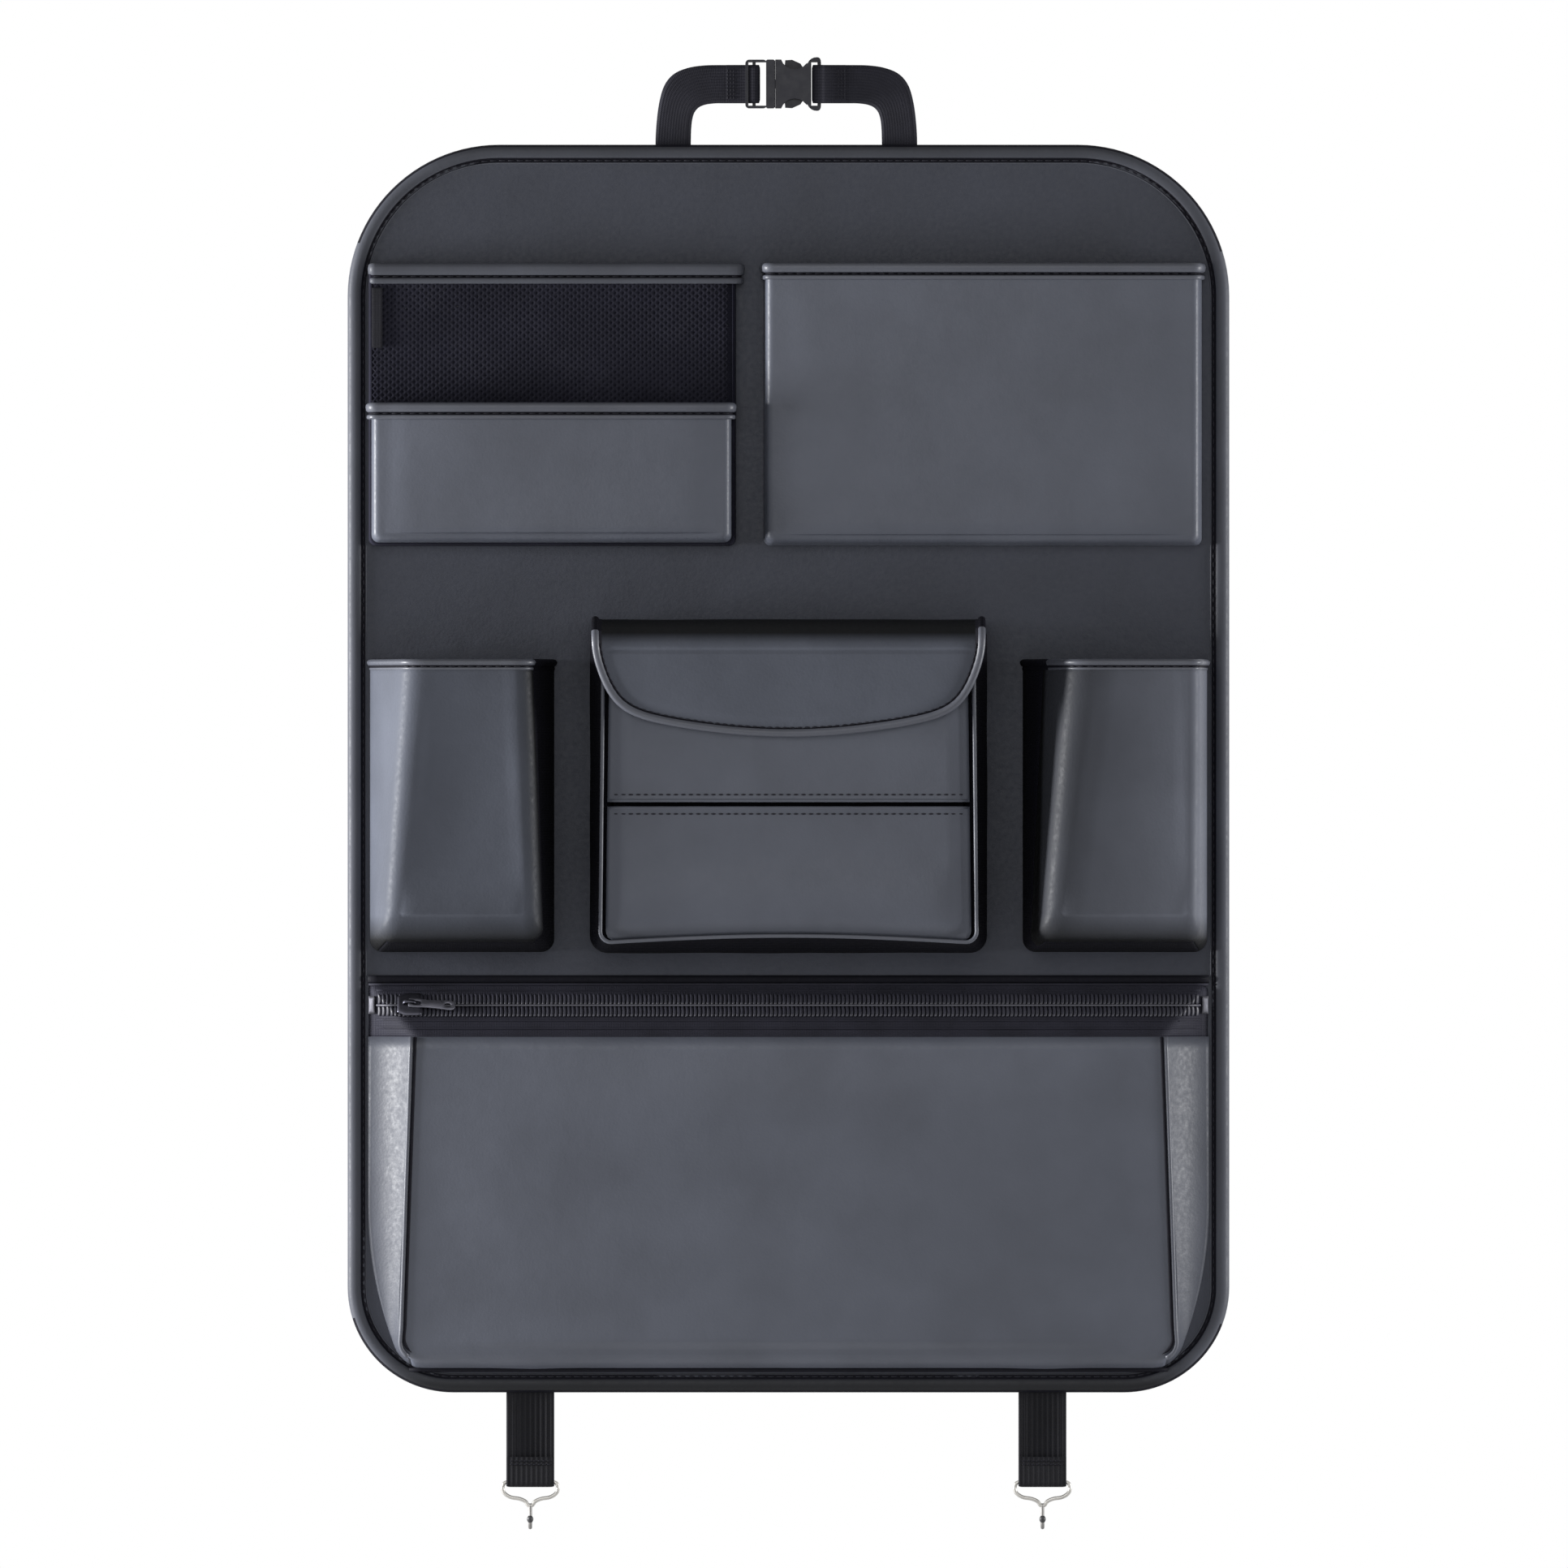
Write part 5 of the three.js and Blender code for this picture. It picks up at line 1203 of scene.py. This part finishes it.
def build_zip_pocket():
    base = u_line(-ZIP_HALF, ZIP_HALF, -ZIP_HALF, ZIP_HALF, BROW_Z, SEAT_Z, 12, SEAT)
    for p in base:
        drop = max(-225 - p.z, 0) / 80
        p.x -= math.copysign(min(15.5 * drop**2, abs(p.x)), p.x) * ease((abs(p.x) - 150) / 50)

    def front_line(out_top, out_low, above, radius, shift=0.0):
        """The front's outline, moved outward, up and forward."""
        wide, wide_low = SEAM_TOP + out_top, SEAM_LOW + out_low
        return u_line(-wide, wide, -wide_low, wide_low, BROW_Z, CHIN_Z + above, radius,
                      lambda z: zip_front_depth(z) + shift)

    rim = front_line(0, 0, 0, 9)
    inner = front_line(-1.6, -1.6, 5.0, 8, 0.1)

    def puff(_, v, spot):
        u = min(max(spot.x / (2 * SEAM_TOP) + 0.5, 0), 1)
        across = min(ease(u * 9), ease((1 - u) * 9))
        down = ease((1 - v) * 9)
        crown = 4.2 * u * (1 - u) * 4 * ease(v * 4 + 0.12)
        return across * down * (crown + 0.7 * ripple(spot.x, spot.z, 80, 21.0))

    def sag(p):
        return SIDE_SAG * ease((p.z + 306) / 20)

    rounds, walls = 5, 10
    points, face, side, _ = tray(base, rim, inner, puff, walls=walls, rounds=rounds, sag=sag)
    for p in points:
        for strap in ELASTIC_X.values():
            p.y += 1.6 * bell(p.x, strap, 13) * bell(p.z, -311.5, 2.2)
    columns = len(base) - 1
    foot = range(U_SIDE + 1, U_SIDE + U_FOOT - 1)

    def part_of(number):
        ring, column = divmod(number, columns)
        if ring < rounds - 1 or column in foot:
            return "front"
        return "left" if column <= U_SIDE else "right"

    kept = {"front": list(face), "left": [], "right": []}
    for number, f in enumerate(side):
        kept[part_of(number)].append(f)
    for name, part, material, node in (("zip_front_leather", "front", POCKET, "zip_pocket_front"),
                                       ("zip_side_left", "left", SIDE_PAINTED_SHADE, "zip_gusset_left"),
                                       ("zip_side_right", "right", SIDE_PAINTED_SHADE, "zip_gusset_right")):
        piece(name, points, kept[part], material, slot="pocket_leather", replaces=[node], weld=True,
              thickness=LEATHER)

    def side_lines(*moves):
        """The two side stretches of the front's outline, as far as its lower corners."""
        whole = front_line(*moves)
        return ("left", whole[: U_SIDE + 2]), ("right", list(reversed(whole[U_SIDE + U_FOOT - 2 :])))

    for end, line in side_lines(1.2, 0.8, 0, 9, -0.4):
        tube(f"zip_seam_roll_{end}", line, 1.25, BINDING, sides=10, slot="binding_leather")
    # Black tubes in the side seams: painted shade for the shade in the seams' grooves.
    for end, line in side_lines(-1.0, -1.2, 2.0, 9, -0.15):
        tube(f"zip_seam_painted_shade_{end}", line, lambda t: 0.85 * ease((1.02 - t) * 9), BLACK_AND_PAINTED_SHADE, sides=8,
             slot="pocket_leather")
    # A black tube along the front's seat on the panel: painted shade for the crease there.
    foot_line = [Vector((x, 6.0, SEAT_Z)) for x in spaced(-198, 198, 60)]
    tube("zip_foot_painted_shade", foot_line, 1.1, BLACK_AND_PAINTED_SHADE, sides=8, slot="pocket_leather")


def build_zip():
    half = ZIP_HALF - 5

    def strip(name, top, low, material, lift, slot, inset=0.6, **rest):
        def place(v, u):
            x, z = mix(inset - ZIP_HALF, ZIP_HALF - inset, u), mix(top, low, v)
            return on_strip(x, z, lift + 0.15 * ripple(x, z * 3, 26, 13.0))

        def unrolled(v, u):
            return (top - mix(top, low, v)) / math.cos(SLOPE), mix(inset - ZIP_HALF, ZIP_HALF - inset, u)

        points, faces = grid(6, 120, place)
        pattern, _ = grid(6, 120, unrolled)
        piece(name, points, faces, material, flat=pattern, slot=slot, thickness=0.7, **rest)

    strip("zip_tape_top", -110.2, -123.0, TAPE, -1.0, "webbing", replaces=["zip_tape_upper"])
    strip("zip_tape_foot", -123.6, -140.6, TAPE, -1.0, "webbing", replaces=["zip_tape_lower"])
    strip("zip_strip_under", -111.4, -139.0, GUSSET, -2.2, "gusset_fabric", inset=1.6)

    def teeth(name, high, low, node):
        pitch = 2.2
        points, faces = [], []
        sides, rings = 8, 6
        for k in range(int(2 * half / pitch)):
            x = -half + pitch * (k + 0.5)
            start = len(points)
            for t in spaced(0, 1, rings):
                girth = 0.7 + 0.3 * math.sin(math.pi * t) ** 0.5
                lean = 0.3 * math.sin(math.pi * t)
                for p, q in circle(girth, sides):
                    points.append(on_strip(x + lean + 0.85 * p, mix(high, low, t), -0.3 + 0.55 * q))
            faces += quads(rings + 1, sides, start, around=True) + end_faces(rings + 1, sides, start)
        piece(name, points, faces, TEETH, closed=True, slot="zip_plastic", replaces=[node])

    teeth("zip_teeth_top", -117.4, -122.9, "zip_coil_upper")
    teeth("zip_teeth_foot", -124.0, -129.0, "zip_coil_lower")
    chain = along_strip(half, -123.45, 0.0, 140)
    tube("zip_chain_line", chain, 0.5, TEETH_LIGHT, sides=8, slot="zip_plastic")
    for end, z in (("top", -115.2), ("foot", -131.0), ("low", -135.2)):
        line = along_strip(half, z, -0.75, 120)
        tube(f"zip_tape_line_{end}", line, 0.4, TAPE, sides=6, slot="webbing")

    welt_half, welt_top, welt_low, welt_girth = 219.4, -107.9, -111.8, 5.4

    def welt(v, u):
        x = mix(-welt_half, welt_half, u)
        roll = 1.1 * math.sin(math.pi * v) ** 0.7
        return Vector((x, 5.7 + roll + 0.12 * ripple(x, v * 4, 30, 8.0), mix(welt_top, welt_low, v)))

    points, faces = grid(8, 90, welt)
    pattern, _ = grid(8, 90, lambda v, u: (v * welt_girth, mix(-welt_half, welt_half, u)))
    piece("zip_welt_tape", points, faces, BLACK_AND_PAINTED_SHADE, flat=pattern, slot="webbing", replaces=["zip_welt"],
          thickness=0.8)
    line = [Vector((x, 6.0, -112.6)) for x in spaced(-219, 219, 60)]
    tube("zip_welt_lip", line, 0.6, TAPE, sides=8, slot="webbing")

    for end, x in (("left", -217.3), ("right", 217.3)):
        def stop(v, u):
            v, u = mix(-1, 1, v), mix(-1, 1, u)
            lift = 0.6 + 0.9 * (1 - u**4) * (1 - v**4) ** 0.5
            return on_strip(x + 1.7 * u, ZIP_Z - 4.6 * v, lift)

        points, faces = grid(6, 6, stop)
        piece(f"zip_end_{end}", points, faces, STOP, slot="slider_metal", replaces=[f"zip_stop_{end}"],
              thickness=0.8)


def bulged(value):
    """The value of a sine or cosine, pushed outward so that a round section becomes a rounded box."""
    return math.copysign(abs(value) ** 0.45, value)


# The outline of the pull, as (along it, to its upper side), as far as its middle line, and its two windows
PULL_OUTLINE = [(-0.6, -2.2), (0.4, -2.7), (5, -2.6), (9, -2.3), (17, -2.6), (22, -3.0), (23.6, -2.2),
                (24, 0)]
PULL_WINDOWS = [
    [(0.6, -1.3), (5.6, -1.4), (6.2, 0), (5.6, 1.4), (0.6, 1.3)],
    [(18.4, -1.1), (21.4, -1.2), (22.0, 0), (21.4, 1.2), (18.4, 1.1)],
]


def build_slider():
    """The slider's body is a rounded plate, narrower at one end, with a bridge that holds the pull."""
    axis_along = Vector((1, 0, 0))
    axis_up = (on_slope(0, 0) - on_slope(0, -1)).normalized()
    axis_out = (on_slope(0, 0, 1) - on_slope(0, 0)).normalized()
    centre = on_slope(-197.6, ZIP_Z)

    def place(a, b, c):
        return centre + axis_along * a + axis_up * b + axis_out * c

    rows, columns = 20, 16
    reach = 6.3
    points = []
    for a in spaced(-reach, reach, rows):
        half = mix(5.2, 7.1, ease((a + reach) / 5)) - 0.5 * ease((a - 4.8) / 1.5)
        end = 1 - 0.5 * ease((abs(a) - 5.4) / 0.9)
        for c in range(columns):
            spin = 2 * math.pi * c / columns
            wide = bulged(math.cos(spin)) * half
            thick = bulged(math.sin(spin))
            low, top = -0.2, 1.4 + 0.15 * (1 - (wide / half) ** 2)
            points.append(place(a, wide * mix(0.94, 1, end), mix(low, top, (thick * end + 1) / 2)))
    faces = quads(rows + 1, columns, around=True) + end_faces(rows + 1, columns)
    piece("slider_body", points, faces, SLIDER, body="slider", closed=True, slot="slider_metal",
          replaces=["zip_slider"])
    arch = [(-3.0, 1.1), (-3.0, 2.4), (-2.3, 3.3), (-0.8, 3.65)]
    arch += [(-a, c) for a, c in reversed(arch)]
    line = spline([place(a, 0, c) for a, c in arch], steps=4)
    stations = [(p, axis_up, axis_up.cross(heading(line, i))) for i, p in enumerate(line)]
    bar = [(0.9, 0.3), (0.6, 0.5), (-0.6, 0.5), (-0.9, 0.3), (-0.9, -0.3), (-0.6, -0.45), (0.6, -0.45),
           (0.9, -0.3)]
    sweep("slider_bridge", stations, bar, SLIDER, body="slider", slot="slider_metal")

    pivot = place(0, 0, 2.34)
    droop = math.radians(5)
    pull_along = axis_along * math.cos(droop) - axis_up * math.sin(droop)
    pull_up = axis_up * math.cos(droop) + axis_along * math.sin(droop)
    outline = PULL_OUTLINE + [(a, -b) for a, b in reversed(PULL_OUTLINE[:-1])]
    plate = bmesh.new()
    edges = []
    for line in [outline] + PULL_WINDOWS:
        loop = rounded([Vector((a, b, 0)) for a, b in line], closed=True)
        verts = [plate.verts.new(v) for v in loop]
        edges += [plate.edges.new((verts[i - 1], verts[i])) for i in range(len(verts))]
    bmesh.ops.triangle_fill(plate, use_beauty=True, edges=edges)
    plate.verts.index_update()
    points = [pivot + pull_along * v.co.x + pull_up * v.co.y for v in plate.verts]
    faces = [tuple(v.index for v in face.verts) for face in plate.faces]
    plate.free()
    pull = piece("slider_pull", points, faces, PULL, body="pull", slot="slider_metal", replaces=["zip_pull"],
                 thickness=0.9)
    pull.modifiers["thickness"].offset = 0
    soften(pull, 0.2, 2)


# Straps, buckle and hooks

# The headrest strap's middle, to the side of the panel's middle, and the height of its buckle
SHIFT = -1.1
ARCH_Z = 357.1
WEB_DEPTH, TAIL_DEPTH, TACK_DEPTH, LOOP_DEPTH = 2.3, 4.0, 4.75, 6.3
# The wire bar that each elastic is looped round
BAR_Z, BAR_DEPTH = -372.2, 3.15
# The edges of the webbing's arch on the right, from the panel up to the buckle, as (from the middle, z)
ARCH_OUTER = [(68.2, 306), (68.2, 318), (68.2, 330), (67.2, 342), (65.9, 349.6), (63.9, 356.0),
              (61.0, 360.4), (57.2, 363.4), (50.6, 365.8), (43.0, 366.9), (36.0, 367.1), (33.0, 367.1)]
ARCH_INNER = [(49.9, 306), (49.9, 318), (49.8, 328), (49.6, 334), (49.0, 339.0), (47.8, 342.6),
              (45.6, 345.0), (42.6, 346.3), (39.0, 346.9), (36.0, 347.1), (34.5, 347.1), (33.0, 347.1)]


def web_profile(width, thickness=1.4, waves=0, wave=0.0):
    """The strap's cross-section: flat faces with rounded edges, with ribs where waves is set."""
    top, low = [], []
    for u in spaced(-1, 1, max(12, waves * 6)):
        shape = max((1 - abs(u) ** 14) ** 0.5, 0.25)
        rib = wave * math.cos(math.pi * waves * u)
        top.append((width / 2 * u, (thickness / 2 + rib) * shape))
        low.append((width / 2 * u, -(thickness / 2) * shape))
    return top + list(reversed(low))


def build_top_strap():
    def arch(direction, near, far, end):
        """The webbing up one side, over the arch, round the buckle's bar and back to its tail's end."""
        sides = []
        for edge in (ARCH_OUTER, ARCH_INNER):
            line = spline([Vector((x, 0, z)) for x, z in edge], steps=8)
            even = resample(line, count=44)
            sides.append([Vector((SHIFT + direction * p.x, WEB_DEPTH, p.z)) for p, _ in even])
        stations = [((a + b) / 2, (a - b) / 20, TO_FRONT) for a, b in zip(*sides)]
        loop = [(near, WEB_DEPTH), (near, LOOP_DEPTH), (far, LOOP_DEPTH), (far, TAIL_DEPTH),
                (end, TAIL_DEPTH)]
        turns = [Vector((SHIFT + direction * x, depth, ARCH_Z)) for x, depth in loop]
        path = rounded([stations[-1][0]] + turns, times=3)
        for i, p in enumerate(path[1:], start=1):
            along = heading(path, i)
            stations.append((p, Vector((0, 0, 1)), Vector((-along.y, along.x, 0)) * -direction))
        return stations

    strap = sweep("strap_left", arch(-1, 14.4, 19.1, 31.4), web_profile(20), WEB, flat=True, body=None,
                  slot="webbing", replaces=["top_strap_left"])
    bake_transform(strap)
    sweep("strap_right", arch(1, 14.0, 19.1, 31.0), web_profile(20), WEB, flat=True, slot="webbing",
          replaces=["top_strap_right"])
    for name, x, body in (("strap_tack_left", -29.0, "plug"), ("strap_tack_right", 28.6, ROOT)):
        rows = [[Vector((SHIFT + x + across, TACK_DEPTH, ARCH_Z + z)) for z in (-8, 8)]
                for across in (-1.6, 0, 1.6)]
        stitches(name, rows, pitch=1.9, length=1.8, width=0.7, body=body)


def build_plug_rim():
    """The thin rim on the plug's face that meets the socket's mouth."""
    face, back = -6.0 + SHIFT, -5.75 + SHIFT
    half, low, high = 12.4, 1.5, 8.9
    corners = [(half, low), (half, high), (-half, high), (-half, low)]
    outline = rounded([Vector((z, depth, 0)) for z, depth in corners], closed=True, times=1)
    points = [Vector((x, p.y, ARCH_Z + p.x)) for x in (face, back) for p in outline]
    faces = quads(2, len(outline), around=True) + end_faces(2, len(outline))
    piece("plug_rim", points, faces, BUCKLE, body="plug", closed=True, slot="buckle_plastic")


def build_elastic(side):
    middle = ELASTIC_X[side]
    bend = 2.0
    route = [(WEB_DEPTH, z) for z in spaced(-306 - BAR_Z, 9, 24)]
    route += [(WEB_DEPTH - 0.3, 5), (BAR_DEPTH - bend, 0.6)]
    for turn in spaced(0, math.pi, 8)[1:-1]:
        route.append((BAR_DEPTH - bend * math.cos(turn), -bend * math.sin(turn)))
    route += [(BAR_DEPTH + bend, 0.6), (TAIL_DEPTH + 0.3, 5), (TAIL_DEPTH, 8), (TAIL_DEPTH, 13)]
    path = [Vector((middle, depth, BAR_Z + z)) for depth, z in route]
    stations = []
    for i, p in enumerate(path):
        along = heading(path, i)
        stations.append((p, Vector((1, 0, 0)), Vector((0, -along.z, along.y))))
    sweep(f"elastic_{side}", stations, web_profile(25, waves=9, wave=0.12), ELASTIC, flat=True,
          slot="webbing", replaces=[f"elastic_strap_{side}"])
    rows = [[Vector((middle + x, 4.85, BAR_Z + z)) for x in (-11, 11)] for z in (9.2, 11.0)]
    stitches(f"elastic_{side}_stitches", rows, pitch=2.4, length=2.0, width=0.7)


def build_hook(side):
    middle = ELASTIC_X[side]
    rest = {"sides": 14, "body": f"{side}_hook"}
    right = [(4, 0), (9, 0), (12.2, -0.1), (13.7, -0.8), (14.4, -2.8), (13.7, -5.6), (10.4, -7.9),
             (5.6, -8.8), (2.5, -10.2), (0.9, -12.2)]
    left = [(-x, z) for x, z in reversed(right)]
    loop = [Vector((middle + x, BAR_DEPTH, BAR_Z + z)) for x, z in right + left]
    tube(f"hook_{side}_loop", spline(loop, closed=True, steps=5), 1.0, NICKEL, loop=True, slot="hook_wire",
         replaces=[f"hook_{side}"], **rest)
    top, start, bend = BAR_Z - 11.2, BAR_Z - 19.6, 4.0
    line = [Vector((middle, BAR_DEPTH, z)) for z in spaced(top, start, 6)]
    for turn in spaced(0, math.pi, 12)[1:]:
        line.append(Vector((middle, BAR_DEPTH + bend * (1 - math.cos(turn)), start - bend * math.sin(turn))))
    end = BAR_DEPTH + 2 * bend
    line.append(Vector((middle, end, start + 0.6)))
    tube(f"hook_{side}_stem", line, 1.0, STEM, slot="hook_wire", **rest)
    drop = [Vector((middle, end, start + z)) for z in spaced(-1.4, 2.2, 10)]

    def drop_radius(t):
        return 1.7 * max(math.sin(math.pi * mix(0.08, 0.92, t)), 0.2) ** 0.5

    tube(f"hook_{side}_tip", drop, drop_radius, TIP, slot="buckle_plastic", **rest)


def dress_nodes():
    """Materials and softened edges for the solids that stay."""
    for name in ("inner_board", "buckle_plug", "buckle_arm_upper", "buckle_arm_lower", "buckle_socket"):
        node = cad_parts[name]
        is_board = name == "inner_board"
        material = BOARD if is_board else BUCKLE
        for slot in node.material_slots:
            slot.material = material
        if not node.material_slots:
            node.data.materials.append(material)
        if not is_board:
            bevel = soften(node, 0.35, 3)
            bevel.angle_limit = math.radians(35)
            bevel.harden_normals = True


# Room, light and camera

VIEW_X, VIEW_Z = -2.33, -8.05
VIEW_WIDTH = 818.3
LENS, SENSOR = 600.0, 36.0


def build_room():
    span = 2.0
    floor_z = -0.9
    mesh = bpy.data.meshes.new("floor")
    corners = [(-span, -span, floor_z), (span, -span, floor_z), (span, span, floor_z), (-span, span, floor_z)]
    mesh.from_pydata(corners, [], [(0, 1, 2, 3)])
    floor = bpy.data.objects.new("floor", mesh)
    bpy.context.scene.collection.objects.link(floor)
    f = Finish("pale_floor", (0.8, 0.8, 0.8), 0.7, 0.2)
    f.tone(f.noise(300, 2), 0.97, 1.03)
    mesh.materials.append(f.material)

    world = bpy.data.worlds.new("studio")
    bpy.context.scene.world = world
    world.use_nodes = True
    tree = world.node_tree
    ground = tree.nodes["Background"]
    ground.inputs["Color"].default_value = (1, 1, 1, 1)
    path = tree.nodes.new("ShaderNodeLightPath")
    either = path.outputs["Is Camera Ray"]
    for other in ("Is Glossy Ray", "Is Transmission Ray"):
        most = tree.nodes.new("ShaderNodeMath")
        most.operation = "MAXIMUM"
        tree.links.new(either, most.inputs[0])
        tree.links.new(path.outputs[other], most.inputs[1])
        either = most.outputs[0]
    level = tree.nodes.new("ShaderNodeMapRange")
    level.inputs["To Min"].default_value = 0.15
    level.inputs["To Max"].default_value = 1.0
    tree.links.new(either, level.inputs["Value"])
    tree.links.new(level.outputs["Result"], ground.inputs["Strength"])

    def lamp(name, place, width, height, power):
        data = bpy.data.lights.new(name, "AREA")
        data.shape = "RECTANGLE"
        data.size = width
        data.size_y = height
        data.energy = power
        made = bpy.data.objects.new(name, data)
        made.location = place
        made.rotation_euler = (Vector((0, 0, 0)) - Vector(place)).to_track_quat("-Z", "Y").to_euler()
        bpy.context.scene.collection.objects.link(made)

    lamp("left_softbox", (-2.0, -0.2, 0.0), 0.25, 0.6, 110)
    lamp("right_softbox", (2.1, -0.25, -0.02), 0.3, 0.6, 46)
    lamp("front_softbox", (-0.2, -2.6, 0.9), 1.6, 1.2, 15)

    camera = bpy.data.cameras.new("camera")
    camera.lens = LENS
    camera.sensor_width = SENSOR
    distance = VIEW_WIDTH * LENS / SENSOR / 1000
    camera.clip_end = 60
    holder = bpy.data.objects.new("camera", camera)
    holder.location = (VIEW_X / 1000, -distance, VIEW_Z / 1000)
    holder.rotation_euler = (math.radians(90), 0, 0)
    bpy.context.scene.collection.objects.link(holder)
    bpy.context.scene.camera = holder
    bpy.context.scene.view_settings.view_transform = "Standard"


build_room()
build_panel()
build_mesh_pocket()
build_slim_pocket()
build_tag()
build_tablet_pocket()
build_cup_pocket("left")
build_cup_pocket("right")
build_tissue_pocket()
build_flap()
build_zip_pocket()
build_zip()
build_slider()
build_top_strap()
build_plug_rim()
build_elastic("left")
build_elastic("right")
build_hook("left")
build_hook("right")
dress_nodes()
